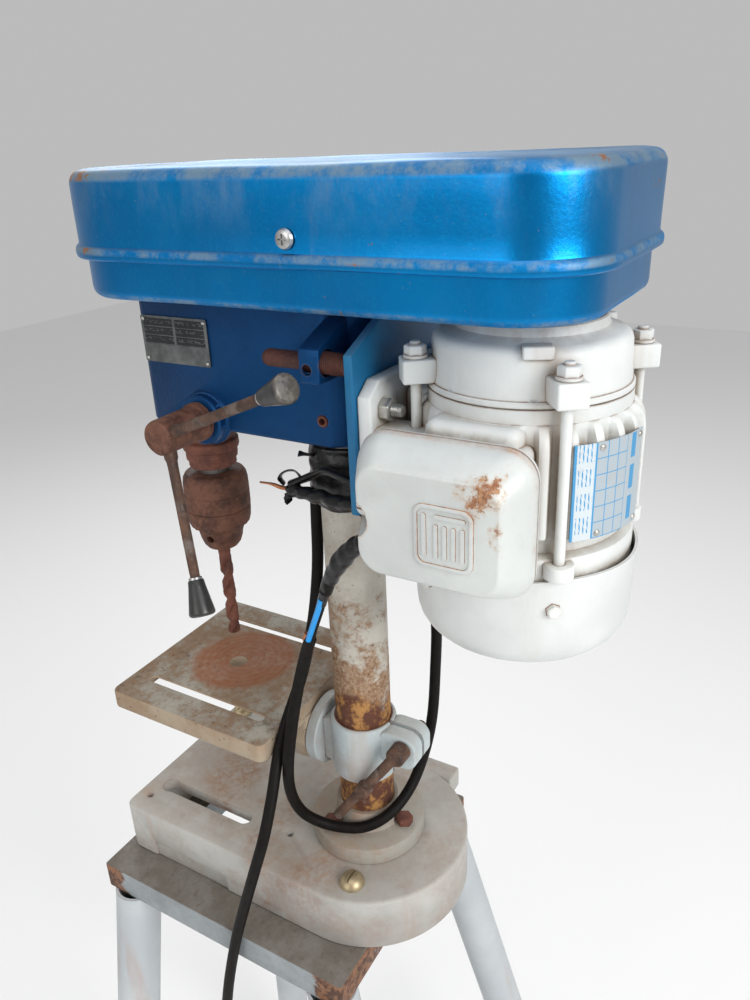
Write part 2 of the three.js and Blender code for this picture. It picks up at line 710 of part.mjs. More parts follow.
// The lid is a shallow pyramid: a flat rim, a long rounded slope, then a flat face.
function terminalCover() {
  const { y, z, r, faceY, faceZ, faceR } = terminal;
  const level = ([x, share, inset]) => {
    const mix = (from, to) => from + (to - from) * share;
    return boxLevel([
      x, mix(y[0], faceY[0]) + inset, mix(y[1], faceY[1]) - inset,
      mix(z[0], faceZ[0]) + inset, mix(z[1], faceZ[1]) - inset, mix(r, faceR) - inset / 2,
    ]);
  };
  const slope = [[90.3, 0], [94, 0], [98, 0.12], [104, 0.38], [109, 0.62], [113, 0.82], [115.4, 0.93], [116.4, 1]];
  const outside = loft(slope.map(([x, share]) => level([x, share, 0])));
  const inside = loft([[90, 0], [94, 0.1], [103, 0.5], [112, 0.9]].map(([x, share]) => level([x, share, 3])));
  add("terminal_cover", cut(outside, inside), "pale");
}

function namePlate() {
  const steps = Array.from({ length: 9 }, (_, i) => 40.7 + i * 5.4);
  const outer = steps.map((angle) => ring(motor.finR + 1.6, angle));
  const inner = steps.map((angle) => ring(motor.finR + 0.4, angle)).reverse();
  add("motor_nameplate", prismZ(outline([...outer, ...inner]), 394, 452).translate(0, motor.y, 0), "steel");
}

// ---------- belt drive and guard ----------
function guardLevel(inset, z) {
  const r = { f: guard.frontR - inset, b: guard.rearR - inset };
  const [w, y0, y1] = [guard.halfX - inset, guard.front + inset, guard.rear - inset];
  const centres = [[w - r.f, y0 + r.f, r.f, -90], [w - r.b, y1 - r.b, r.b, 0], [-w + r.b, y1 - r.b, r.b, 90],
    [-w + r.f, y0 + r.f, r.f, 180]];
  return centres.flatMap(([cx, cy, radius, start]) =>
    Array.from({ length: 7 }, (_, i) => {
      const [dx, dy] = ring(radius, start + (i * 90) / 6);
      return [cx + dx, cy + dy, z];
    }),
  );
}

function guardPan() {
  const { low, panInset } = guard;
  const outside = loft([guardLevel(panInset + 5, low), guardLevel(panInset + 1.5, low + 1.5),
    guardLevel(panInset, low + 5), guardLevel(panInset, 566)]);
  const inside = loft([guardLevel(panInset + 6, low + 2), guardLevel(panInset + 2, low + 6),
    guardLevel(panInset + 2, 567)]);
  const shaftSlot = prismZ(roundRect(-20, 20, motor.y - 32, motor.y + 22, 19), low - wrap, low + 4, 6);
  const spindleHole = disc(14, low - wrap, low + 4, 24, [0, spindle.y, 0]);
  add("guard_pan", cut(outside, inside, shaftSlot, spindleHole), "blue");
}

function beltCover() {
  const { seam, side, top } = guard;
  const outside = loft([guardLevel(-2.3, seam), guardLevel(-2.6, seam + 4), guardLevel(-2.3, seam + 7.4),
    guardLevel(0, seam + 9.5), guardLevel(0, side), guardLevel(1.2, side + 2.6), guardLevel(8, top - 0.6),
    guardLevel(10, top)]);
  const inside = loft([guardLevel(2, seam - wrap), guardLevel(2, side - 1), guardLevel(9, top - 2.5)]);
  let made = cut(outside, inside);
  const [y, z] = guard.screwAt;
  for (const sx of [-1, 1]) made = cut(made, disc(3, 80, 96, 10, [0, y, z], "x").scale([sx, 1, 1]));
  add("belt_cover", made, "blue");
}

function guardScrew() {
  const x = guard.halfX + gap;
  const at = [0, ...guard.screwAt];
  const made = join(disc(5.2, x, x + 3.2, 14, at, "x"), disc(2.6, x - 3, x + 1, 10, at, "x"));
  add("guard_screw", made, "steel");
}

// A cone pulley: each step is a pair of slopes that hold a V-belt.
function conePulley(name, radii, bore, y) {
  const { low, step } = pulley;
  const profile = [[bore, low]];
  radii.forEach((r, i) => {
    const z = low + i * step;
    profile.push([r + 2.5, z], [r - 6.8, z + 3.2], [r - 6.8, z + 9.8], [r + 2.5, z + step]);
  });
  profile.push([bore, low + radii.length * step], [bore, low]);
  add(name, turned(profile, 20, [0, y, 0]), "steel");
}

function vBelt() {
  const z = pulley.low + (pulley.beltStep + 0.5) * pulley.step;
  const r = pulley.spindleR[pulley.beltStep];
  const level = (radius, height) =>
    Array.from({ length: 28 }, (_, i) => {
      const far = i < 14;
      const [x, y] = ring(radius, ((i % 14) * 180) / 13 + (far ? 0 : 180));
      return [x, y + (far ? motor.y : spindle.y), height];
    });
  const outside = loft([level(r - 6, z - 2.6), level(r + 2, z - 4.2), level(r + 2, z + 4.2), level(r - 6, z + 2.6)]);
  const inner = loft([level(r - 6.1, z - 6), level(r - 6.1, z + 6)]);
  add("v_belt", cut(outside, inner), "black");
}

// ---------- cords ----------
// A round cord through smooth points, in steps of about three diameters.
function cordAlong(points, r) {
  const path = new THREE.CatmullRomCurve3(points.map((p) => new THREE.Vector3(...p)), false, "centripetal");
  const circle = new THREE.Shape().absarc(0, 0, r, 0, Math.PI * 2);
  const steps = Math.min(80, Math.round(path.getLength() / (r * 6)));
  const options = { steps, curveSegments: cord.sides, bevelEnabled: false, extrudePath: path };
  return solid(new THREE.ExtrudeGeometry(circle, options));
}

const motorLeadRoute = [[84, 66, 385.6], [83.8, 61.2, 382], [83.2, 54.2, 376.4], [82.3, 46.6, 368.6],
  [80.8, 38.8, 358.4], [79, 31.2, 346.2], [76.3, 23.9, 331.8], [72.6, 15.8, 314.2], [67, 5.4, 293.6],
  [61.4, -5, 272.6], [58.6, -13.8, 250.2], [60.2, -20, 226], [67.5, -23.5, 193], [73.5, -25, 165],
  [70, -29, 136], [60, -31, 107], [52.8, -27.2, 91.9], [44.2, -16.2, 80.7], [36.8, -1.1, 76.7], [31, 13, 78.5],
  [22.5, 25, 84], [9, 33.5, 91], [-8, 38, 100], [-24, 41, 117], [-39, 43.5, 150], [-50, 42.5, 200], [-50, 43.5, 250],
  [-44, 40, 300], [-36, 28, 340], [-29, 17, 360]];
const supplyRoute = [[4, -29.5, 360], [5, -29.5, 345], [7, -30, 311], [13, -32, 272], [21, -35, 240], [30, -38.5, 213],
  [43, -38.5, 199], [57.5, -37.5, 185], [71, -36.6, 166], [90, -31.5, 141], [106, -30, 115], [114, -38, 80],
  [118, -49, 42], [123, -60, 0], [129, -75, -76], [128, -92, -200], [114, -106, -360],
  [96, -114, -520], [80, -113, -640], [70, -104, -700], [65.6, -82, -741], [64.7, -60, -753.5], [64.7, -42, -754.9]];
const coil = { x: 0, y: -40, r: 50, z: -standHeight + gap };
// The plug lies on the floor at the end of the coil's last turn.
const plug = { x: -65, y: -43, bodyY: -76, tail: 4.6, r: 14, length: 40, pinR: 2.4, pinLength: 19, pinApart: 9.5 };

function cordCoil() {
  const { x, y, r, z } = coil;
  const half = cord.r * 2.1;
  const tall = cord.r * 4.1;
  add("cord_coil", tube(r - half, r + half, 0, tall, 32, [x, y, z]), "black");
}

function mainsPlug() {
  const { x, y, bodyY, tail, r, length, pinR, pinLength, pinApart } = plug;
  const floor = -standHeight + gap;
  const z = floor + r;
  const back = bodyY - length;
  let made = join(
    bar([x, y, floor + tail], [x, bodyY + 1, z], tail, 8, 12),
    bar([x, bodyY, z], [x, back, z], r - 3, r, 18),
  );
  for (const side of [-1, 1]) {
    const pinX = x + side * pinApart;
    made = join(made, bar([pinX, back + 1, z], [pinX, back - pinLength, z], pinR, pinR, 10));
  }
  add("mains_plug", made, "black");
}

// ---------- assembly ----------
standFrame();
["left", "right"].forEach((hand, i) =>
  ["front", "rear"].forEach((end, row) => standLeg("stand_leg_" + end + "_" + hand, i * 2 - 1, row)),
);
baseCasting();
for (const [hand, side] of [["left", -1], ["right", 1]]) {
  baseBolt("base_bolt_" + hand, base.boltAt[hand]);
  slideRod("slide_rod_" + hand, side);
  plateBolt("plate_bolt_" + hand, side, mount.boltZ);
}
Object.keys(motor.lugAt).forEach((corner, i) => tieRod("tie_rod_" + corner, lugPlaces()[i]));
columnFlange();
flangeHoles().forEach((at, i) => flangeBolt("flange_bolt_" + (i + 1), at));
columnTube();
tableBracket();
collarLiner();
tableCasting();
tiltBolt();
clampScrew();
headCasting();
dataPlate();
lockScrew();
springCap();
feedHub();
lever.ends.forEach((end, i) => feedLever(i + 1, end));
quill();
spindleShaft();
chuck();
drillBit();
motorPlate();
motorFrame();
topShield();
fanCowl();
fan();
rotor();
terminalBox();
terminalCover();
namePlate();
guardPan();
beltCover();
guardScrew();
conePulley("spindle_pulley", pulley.spindleR, spindle.r + gap, spindle.y);
conePulley("motor_pulley", pulley.motorR, 9 + gap, motor.y);
vBelt();
add("motor_lead", cordAlong(motorLeadRoute, cord.r), "black");
add("supply_cord", cordAlong(supplyRoute, cord.r), "black");
cordCoil();
mainsPlug();
add("tape_bundle", tube(column.r + 0.5, tapeBundle.r, tapeBundle.low, tapeBundle.high, 24), "black");

export default press;
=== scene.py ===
import math

import bmesh
import bpy
from mathutils import Matrix, Vector, noise


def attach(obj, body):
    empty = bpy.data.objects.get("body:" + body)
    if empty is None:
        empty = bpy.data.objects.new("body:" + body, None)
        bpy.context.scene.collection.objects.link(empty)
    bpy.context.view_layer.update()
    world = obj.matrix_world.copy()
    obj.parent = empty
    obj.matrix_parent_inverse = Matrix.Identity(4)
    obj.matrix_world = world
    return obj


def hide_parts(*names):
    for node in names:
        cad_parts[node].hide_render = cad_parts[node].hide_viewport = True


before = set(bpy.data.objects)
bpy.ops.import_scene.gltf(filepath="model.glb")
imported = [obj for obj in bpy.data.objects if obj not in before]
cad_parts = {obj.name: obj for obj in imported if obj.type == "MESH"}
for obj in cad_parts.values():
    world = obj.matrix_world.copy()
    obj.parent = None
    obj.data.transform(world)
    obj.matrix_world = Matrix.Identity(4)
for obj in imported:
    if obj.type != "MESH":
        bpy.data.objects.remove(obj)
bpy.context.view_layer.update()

# Machine frame: millimetres from the column axis (X, Y) and the top of the stand (Z).
# These two values turn it into the row frame, in metres, in at() below.
COLUMN_BACK = 40.0
STAND_HEIGHT = 760.0
FLOOR = -STAND_HEIGHT

# Camera: place, lens and turn in degrees.
CAMERA_PLACE = (467.3, 301.9, 607.4)
CAMERA_LENS = 29.5
CAMERA_YAW, CAMERA_PITCH, CAMERA_ROLL = 121.09, 23.62, -2.47

# Cords.
CORD_R = 4.6
COIL_CENTRE = (0, -40)

# Base and column: bolt places, the flange bolts' circle and angles.
BASE_BOLTS = {"left": (-69, -199), "right": (64, 21)}
FLANGE_BOLT_R = 36
FLANGE_BOLT_ANGLES = (90, 210, 330)

# Table: the tilt axis, the clamp screw's axis and the slots.
TILT_AXIS = (0, 0, 145)
CLAMP_AXIS = (0, 44, 161)
SLOT_X = 55

# Head: the feed hub's axis (Y, Z), the spindle's axis (Y) and each lever's knob end.
HUB = (-98.8, 427)
SPINDLE_Y = -131.5
LEVER_ENDS = {1: (112, 34.4, 484), 2: (112, -55, 312)}

# Motor: its axis, the lugs and lower feet of its tie rods, its plate's rods and bolts, and its two covers.
MOTOR_Y = 133.8
LUG_R = 70.1
LUG_AT = {"front_right": -53, "rear_right": 37, "rear_left": 127, "front_left": 217}
FOOT_LOW = 371
SLIDE_ROD_X, SLIDE_ROD_Z = 57, 484
PLATE_BOLT_X, PLATE_BOLT_Z = 47, 456
COVER_SCREW = (72.5, 413.5)
PLATE_FROM = 40.7
PLATE_LOW = 394

# Belt guard: the side screws' height and place along the guard.
GUARD_SCREW = (0, 26.3, 561)


def at(x, y, z):
    """A machine-frame point in the row frame, in metres."""
    return Vector((x, y + COLUMN_BACK, z + STAND_HEIGHT)) / 1000.0


def ring(r, degrees):
    """The point at a radius and an angle in degrees."""
    a = math.radians(degrees)
    return r * math.cos(a), r * math.sin(a)


# ---------------------------------------------------------------- camera
def make_camera():
    """The viewpoint, looking down at the machine from its right and rear."""
    data = bpy.data.cameras.new("camera")
    data.sensor_width = 36.0
    data.lens = CAMERA_LENS
    data.clip_start = 0.01
    cam = bpy.data.objects.new("camera", data)
    bpy.context.scene.collection.objects.link(cam)
    yaw, pitch, roll = (math.radians(a) for a in (CAMERA_YAW, CAMERA_PITCH, CAMERA_ROLL))
    forward = Vector((-math.sin(yaw) * math.cos(pitch), math.cos(yaw) * math.cos(pitch), -math.sin(pitch)))
    right = forward.cross(Vector((0, 0, 1))).normalized()
    up = right.cross(forward)
    right, up = right * math.cos(roll) + up * math.sin(roll), up * math.cos(roll) - right * math.sin(roll)
    turn = Matrix((right, up, -forward)).transposed().to_4x4()
    cam.matrix_world = Matrix.Translation(at(*CAMERA_PLACE)) @ turn
    bpy.context.scene.camera = cam


make_camera()


# ---------------------------------------------------------------- materials
class Finish:
    """A procedural material under construction: every call adds nodes and hands back a socket."""

    def __init__(self, name, metallic=0.0, roughness=0.5, **constants):
        self.mat = bpy.data.materials.new(name)
        self.mat.use_nodes = True
        self.tree = self.mat.node_tree
        self.tree.nodes.clear()
        self.out = self.tree.nodes.new("ShaderNodeOutputMaterial")
        self.bsdf = self.tree.nodes.new("ShaderNodeBsdfPrincipled")
        self.tree.links.new(self.bsdf.outputs[0], self.out.inputs[0])
        self.bsdf.inputs["Metallic"].default_value = metallic
        self.bsdf.inputs["Roughness"].default_value = roughness
        for key, value in constants.items():
            self.bsdf.inputs[key.replace("_", " ")].default_value = value
        self.coords = self.tree.nodes.new("ShaderNodeTexCoord").outputs["Object"]
        self.geometry = self.tree.nodes.new("ShaderNodeNewGeometry")
        self.height = None

    def put(self, socket, value):
        if isinstance(value, bpy.types.NodeSocket):
            self.tree.links.new(value, socket)
        else:
            socket.default_value = value

    def noise(self, scale, detail=4.0, rough=0.6, stretch=(1, 1, 1), distortion=0.0, shift=0.0):
        mapping = self.tree.nodes.new("ShaderNodeMapping")
        mapping.inputs["Scale"].default_value = stretch
        mapping.inputs["Location"].default_value = (shift, shift * 0.7, shift * 1.3)
        self.tree.links.new(self.coords, mapping.inputs[0])
        node = self.tree.nodes.new("ShaderNodeTexNoise")
        self.tree.links.new(mapping.outputs[0], node.inputs["Vector"])
        node.inputs["Scale"].default_value = scale
        node.inputs["Detail"].default_value = detail
        node.inputs["Roughness"].default_value = rough
        node.inputs["Distortion"].default_value = distortion
        return node.outputs[0]

    def math(self, op, a, b=0.0, clamp=False):
        node = self.tree.nodes.new("ShaderNodeMath")
        node.operation = op
        node.use_clamp = clamp
        self.put(node.inputs[0], a)
        self.put(node.inputs[1], b)
        return node.outputs[0]

    def plus(self, a, b, clamp=False):
        return self.math("ADD", a, b, clamp)

    def minus(self, a, b, clamp=False):
        return self.math("SUBTRACT", a, b, clamp)

    def times(self, a, b, clamp=False):
        return self.math("MULTIPLY", a, b, clamp)

    def most(self, a, b):
        return self.math("MAXIMUM", a, b)

    def above(self, a, b):
        return self.math("GREATER_THAN", a, b)

    def below(self, a, b):
        return self.math("LESS_THAN", a, b)

    def away_from(self, a, b):
        """The distance between two values, whichever is the larger."""
        return self.math("ABSOLUTE", self.math("SUBTRACT", a, b))

    def span(self, value, low, high, to_low=0.0, to_high=1.0):
        """Maps low..high to to_low..to_high, smoothly and clamped."""
        node = self.tree.nodes.new("ShaderNodeMapRange")
        node.interpolation_type = "SMOOTHSTEP"
        self.put(node.inputs[0], value)
        for i, v in enumerate((low, high, to_low, to_high)):
            node.inputs[i + 1].default_value = v
        return node.outputs[0]

    def mix(self, factor, a, b, blend="MIX"):
        node = self.tree.nodes.new("ShaderNodeMix")
        node.data_type = "RGBA"
        node.blend_type = blend
        self.put(node.inputs[0], factor)
        for socket, value in ((node.inputs[6], a), (node.inputs[7], b)):
            self.put(socket, value if isinstance(value, bpy.types.NodeSocket) else (*value, 1.0))
        return node.outputs[2]

    def part(self, which):
        """One coordinate of the row frame, in metres."""
        node = self.tree.nodes.new("ShaderNodeSeparateXYZ")
        self.tree.links.new(self.coords, node.inputs[0])
        return node.outputs["XYZ".index(which)]

    def facing_up(self):
        """How far a face points upwards, from -1 to 1."""
        node = self.tree.nodes.new("ShaderNodeSeparateXYZ")
        self.tree.links.new(self.geometry.outputs["Normal"], node.inputs[0])
        return node.outputs[2]

    def edges(self, radius):
        """0 on flat faces, rising towards 1 on corners of about that radius in metres."""
        bevel = self.tree.nodes.new("ShaderNodeBevel")
        bevel.samples = 6
        bevel.inputs["Radius"].default_value = radius
        dot = self.tree.nodes.new("ShaderNodeVectorMath")
        dot.operation = "DOT_PRODUCT"
        self.tree.links.new(bevel.outputs[0], dot.inputs[0])
        self.tree.links.new(self.geometry.outputs["Normal"], dot.inputs[1])
        return self.minus(1.0, dot.outputs["Value"], clamp=True)

    def distance(self, place):
        """How far, in metres, from a machine-frame point."""
        node = self.tree.nodes.new("ShaderNodeVectorMath")
        node.operation = "DISTANCE"
        self.tree.links.new(self.coords, node.inputs[0])
        node.inputs[1].default_value = at(*place)
        return node.outputs["Value"]

    def hollows(self, reach):
        """0 on open faces, rising towards 1 deep in a crevice of about that size in metres."""
        shade = self.tree.nodes.new("ShaderNodeAmbientOcclusion")
        shade.samples = 6
        shade.inputs["Distance"].default_value = reach
        return self.minus(1.0, shade.outputs["AO"], clamp=True)

    def done(self, colour, roughness=None, height=None, distance=0.0004, strength=0.6):
        self.put(self.bsdf.inputs["Base Color"], colour)
        if roughness is not None:
            self.put(self.bsdf.inputs["Roughness"], roughness)
        if height is not None:
            bump = self.tree.nodes.new("ShaderNodeBump")
            bump.inputs["Strength"].default_value = strength
            bump.inputs["Distance"].default_value = distance
            self.tree.links.new(height, bump.inputs["Height"])
            self.tree.links.new(bump.outputs[0], self.bsdf.inputs["Normal"])
        return self.mat


RUST_DARK = (0.055, 0.022, 0.014)
RUST_MID = (0.16, 0.06, 0.025)
RUST_ORANGE = (0.36, 0.15, 0.05)
DUST = (0.33, 0.29, 0.24)


def worn_paint(name, light, dark, dust=0.3, dust_colour=DUST, chips=0.5, chip_colour=RUST_MID, under=None,
               edge=0.25, edge_radius=0.003, roughness=0.42, gloss_noise=0.18, pebble=0.35, pebble_scale=420,
               rust_film=0.0, metallic=0.0, coat=0.0, streak=0.0, hollow_shade_and_grime=0.0, rust_near=None):
    """Paint with shade changes, dust on upper faces, worn edges, chips down to rust and a pebbled skin."""
    f = Finish(name, metallic=metallic, Coat_Weight=coat, Specular_IOR_Level=0.35)
    broad = f.noise(7, 5, 0.6)
    fine = f.noise(90, 4, 0.7)
    colour = f.mix(f.span(broad, 0.35, 0.68), dark, light)
    colour = f.mix(f.span(fine, 0.5, 0.75, 0.0, 0.35), colour, dark)
    if rust_film:
        film = f.times(f.span(f.noise(13, 6, 0.68, shift=3.1), 0.42, 0.66), rust_film)
        film = f.times(film, f.span(f.noise(160, 3, 0.7), 0.35, 0.62, 0.35, 1.0))
        if rust_near is not None:
            place, reach = rust_near
            close = f.span(f.distance(place), reach * 0.35, reach, 1.0, 0.25)
            film = f.times(film, f.times(close, 1.7), clamp=True)
        colour = f.mix(film, colour, f.mix(f.noise(30, 3), RUST_MID, RUST_ORANGE))
    if streak:
        run = f.span(f.noise(26, 4, 0.6, stretch=(1, 1, 0.12), shift=7.7), 0.56, 0.74, 0.0, streak)
        colour = f.mix(run, colour, RUST_ORANGE)
    # Painted shade: faces deep in hollows, found by an occlusion mask, are darkened towards brown-grey, standing
    # for shade in the crevices as well as grime.
    if hollow_shade_and_grime:
        deep = f.span(f.hollows(0.02), 0.12, 0.75)
        deep = f.times(deep, f.span(f.noise(45, 5, 0.7, shift=6.0), 0.3, 0.6, 0.25, 1.0))
        colour = f.mix(f.times(deep, hollow_shade_and_grime, clamp=True), colour, (0.3, 0.23, 0.16))
    top = f.span(f.facing_up(), 0.25, 0.95)
    settled = f.times(top, f.span(f.noise(18, 6, 0.7, shift=1.7), 0.25, 0.7, 0.35, 1.0))
    colour = f.mix(f.times(settled, dust), colour, dust_colour)
    corner = f.edges(edge_radius)
    ragged = f.noise(60, 5, 0.75, shift=5.0)
    worn = f.span(f.plus(f.times(corner, 1.7), f.times(ragged, 0.9)),
                  0.98 - edge * 0.6, 1.16 - edge * 0.5)
    spot = f.span(f.noise(34, 6, 0.7, distortion=0.6, shift=9.0), 0.80 - chips * 0.16, 0.83 - chips * 0.14)
    if under is not None:
        colour = f.mix(worn, colour, under)
        rim = f.span(f.plus(f.times(corner, 1.7), f.times(ragged, 0.9)),
                     1.15 - edge * 0.5, 1.32 - edge * 0.5)
        colour = f.mix(rim, colour, chip_colour)
    else:
        colour = f.mix(worn, colour, chip_colour)
    colour = f.mix(spot, colour, f.mix(f.noise(200, 2), chip_colour, RUST_ORANGE))
    rough = f.plus(roughness - gloss_noise / 2, f.times(f.noise(35, 4, shift=2.0), gloss_noise))
    rough = f.plus(rough, f.times(f.plus(worn, f.plus(spot, settled)), 0.25), clamp=True)
    skin = f.times(f.noise(pebble_scale, 2, 0.5), pebble)
    height = f.minus(skin, f.times(f.most(worn, spot), 0.5))
    return f.done(colour, rough, height)


def rusty(name, dark=RUST_DARK, mid=RUST_MID, bright=RUST_ORANGE, shine=0.0, bright_share=0.35, scale=60):
    """Bare steel gone to rust: dark scale, brown bloom and a few polished or orange spots."""
    f = Finish(name, Specular_IOR_Level=0.3)
    a = f.noise(scale, 6, 0.7)
    b = f.noise(scale * 4, 4, 0.7, shift=4.0)
    colour = f.mix(f.span(a, 0.36, 0.62), dark, mid)
    colour = f.mix(f.span(b, 0.52, 0.72, 0.0, bright_share), colour, bright)
    if shine:
        rub = f.span(f.noise(scale * 0.7, 5, 0.6, shift=8.0), 0.5, 0.62, 0.0, shine)
        colour = f.mix(rub, colour, (0.36, 0.33, 0.3))
    rough = f.span(a, 0.3, 0.7, 0.55, 0.85)
    return f.done(colour, rough, f.plus(b, f.times(a, 0.6)), distance=0.0006, strength=0.7)


def plain_noise(name, light, dark, roughness, scale=80, bump=0.3, metallic=0.0, spread=0.15,
                distance=0.0002, specular=0.5):
    """An even material: two close shades, a little roughness change and a fine bump."""
    f = Finish(name, metallic=metallic, Specular_IOR_Level=specular)
    n = f.noise(scale, 4, 0.6)
    colour = f.mix(f.span(n, 0.3, 0.7), dark, light)
    rough = f.plus(roughness - spread / 2, f.times(f.noise(scale * 2.3, 3, shift=2.0), spread))
    return f.done(colour, rough, f.noise(scale * 6, 2), distance=distance, strength=bump)


def column_finish():
    """Grey paint above; below, rust that spreads from speckles to solid brown and orange at the collar."""
    f = Finish("column_finish", Specular_IOR_Level=0.35)
    z = f.part("Z")
    speck = f.noise(75, 6, 0.75)
    fine = f.noise(330, 3, 0.7, shift=3.0)
    patch = f.noise(17, 6, 0.65, shift=6.0)
    low = f.span(z, (STAND_HEIGHT + 165) / 1000, (STAND_HEIGHT + 330) / 1000, 1.0, 0.0)
    foot = f.span(z, (STAND_HEIGHT + 172) / 1000, (STAND_HEIGHT + 236) / 1000, 1.0, 0.0)
    paint = f.mix(f.span(patch, 0.35, 0.65), (0.52, 0.49, 0.43), (0.36, 0.325, 0.275))
    bloom = f.plus(f.times(patch, 0.55), f.plus(f.times(speck, 0.45),
                                                                   f.times(low, 0.17)))
    tan = f.mix(f.span(fine, 0.4, 0.6), (0.34, 0.235, 0.155), (0.22, 0.12, 0.065))
    colour = f.mix(f.span(bloom, 0.53, 0.63), paint, tan)
    solid = f.plus(f.times(foot, 0.34), f.times(patch, 0.6))
    brown = f.mix(f.span(speck, 0.45, 0.6), (0.1, 0.035, 0.02), (0.38, 0.19, 0.06))
    colour = f.mix(f.span(solid, 0.46, 0.56), colour, brown)
    dots = f.span(fine, 0.64, 0.7, 0.0, 0.8)
    colour = f.mix(dots, colour, RUST_DARK)
    return f.done(colour, f.span(bloom, 0.4, 0.7, 0.5, 0.8), f.plus(speck, fine), distance=0.0005,
                  strength=0.45)


def stand_finish():
    """Pale blue-grey paint on the sides, rusted through near the rails' ends, under a brown dusty top."""
    f = Finish("stand_grey", Specular_IOR_Level=0.3)
    patch = f.noise(22, 6, 0.72, shift=4.0)
    fine = f.noise(150, 4, 0.7)
    side = f.mix(f.span(patch, 0.3, 0.7), (0.3, 0.33, 0.345), (0.22, 0.235, 0.24))
    rails_middle = -0.0505
    end = f.span(f.away_from(f.part("Y"), rails_middle), 0.085, 0.122)
    bare = f.span(f.plus(f.times(end, 0.26), f.times(patch, 0.75)), 0.5, 0.56)
    rust = f.mix(f.span(fine, 0.4, 0.6), (0.07, 0.033, 0.022), (0.24, 0.115, 0.06))
    side = f.mix(bare, side, rust)
    face = f.mix(f.span(patch, 0.3, 0.65), (0.19, 0.175, 0.155), (0.125, 0.108, 0.09))
    face = f.mix(f.span(fine, 0.5, 0.7, 0.0, 0.5), face, (0.09, 0.065, 0.045))
    colour = f.mix(f.span(f.facing_up(), 0.4, 0.9), side, face)
    corner = f.span(f.plus(f.times(f.edges(0.0025), 1.4), f.times(fine, 0.6)), 0.62, 0.85)
    colour = f.mix(f.times(corner, 0.6), colour, (0.2, 0.13, 0.085))
    return f.done(colour, f.span(patch, 0.3, 0.7, 0.5, 0.7), f.plus(fine, patch), distance=0.0004,
                  strength=0.4)


def table_finish():
    """Dusty grey cast table with a brown film, and a worn orange ring round its centre hole."""
    f = Finish("table_finish", Specular_IOR_Level=0.2)
    top = f.span(f.facing_up(), 0.5, 0.9)
    ring_centre = (-6, -128, 181)
    away = f.distance(ring_centre)
    patch = f.noise(16, 6, 0.68)
    fine = f.noise(140, 4, 0.72, shift=2.0)
    side = f.mix(f.span(patch, 0.35, 0.7), (0.37, 0.3, 0.22), (0.28, 0.19, 0.12))
    face = f.mix(f.span(patch, 0.3, 0.62), (0.3, 0.28, 0.235), (0.21, 0.18, 0.14))
    film = f.span(f.plus(f.times(patch, 0.5), f.times(fine, 0.5)), 0.44, 0.58, 0.0, 0.85)
    face = f.mix(film, face, (0.185, 0.11, 0.062))
    face = f.mix(f.span(f.noise(33, 7, 0.8, shift=14.0), 0.56, 0.66, 0.0, 0.7), face, (0.085, 0.058, 0.04))
    near = f.span(f.plus(away, f.times(f.minus(patch, 0.5), 0.03)), 0.04, 0.052, 1.0, 0.0)
    face = f.mix(f.times(near, f.span(fine, 0.3, 0.6, 0.75, 1.0)), face, (0.2, 0.075, 0.032))
    rings = f.tree.nodes.new("ShaderNodeTexWave")
    rings.wave_type = "RINGS"
    rings.rings_direction = "Z"
    shift = f.tree.nodes.new("ShaderNodeMapping")
    shift.inputs["Location"].default_value = -at(*ring_centre) * Vector((1, 1, 0))
    f.tree.links.new(f.coords, shift.inputs[0])
    f.tree.links.new(shift.outputs[0], rings.inputs["Vector"])
    rings.inputs["Scale"].default_value = 55
    rings.inputs["Distortion"].default_value = 1.2
    face = f.mix(f.times(near, f.times(rings.outputs[1], 0.16)), face, (0.27, 0.16, 0.1))
    colour = f.mix(top, side, face)
    corner = f.edges(0.003)
    worn = f.span(f.plus(f.times(corner, 1.5), f.noise(55, 5, 0.75, shift=5.0)), 0.8, 0.98)
    colour = f.mix(worn, colour, f.mix(fine, (0.26, 0.16, 0.09), (0.12, 0.07, 0.045)))
    pits = f.span(f.noise(240, 3, 0.6, shift=8.0), 0.64, 0.7)
    colour = f.mix(f.times(pits, 0.6), colour, RUST_DARK)
    height = f.minus(fine, f.times(pits, 0.8))
    return f.done(colour, f.span(patch, 0.3, 0.7, 0.55, 0.8), height, distance=0.0005, strength=0.5)


FINISHES = {}


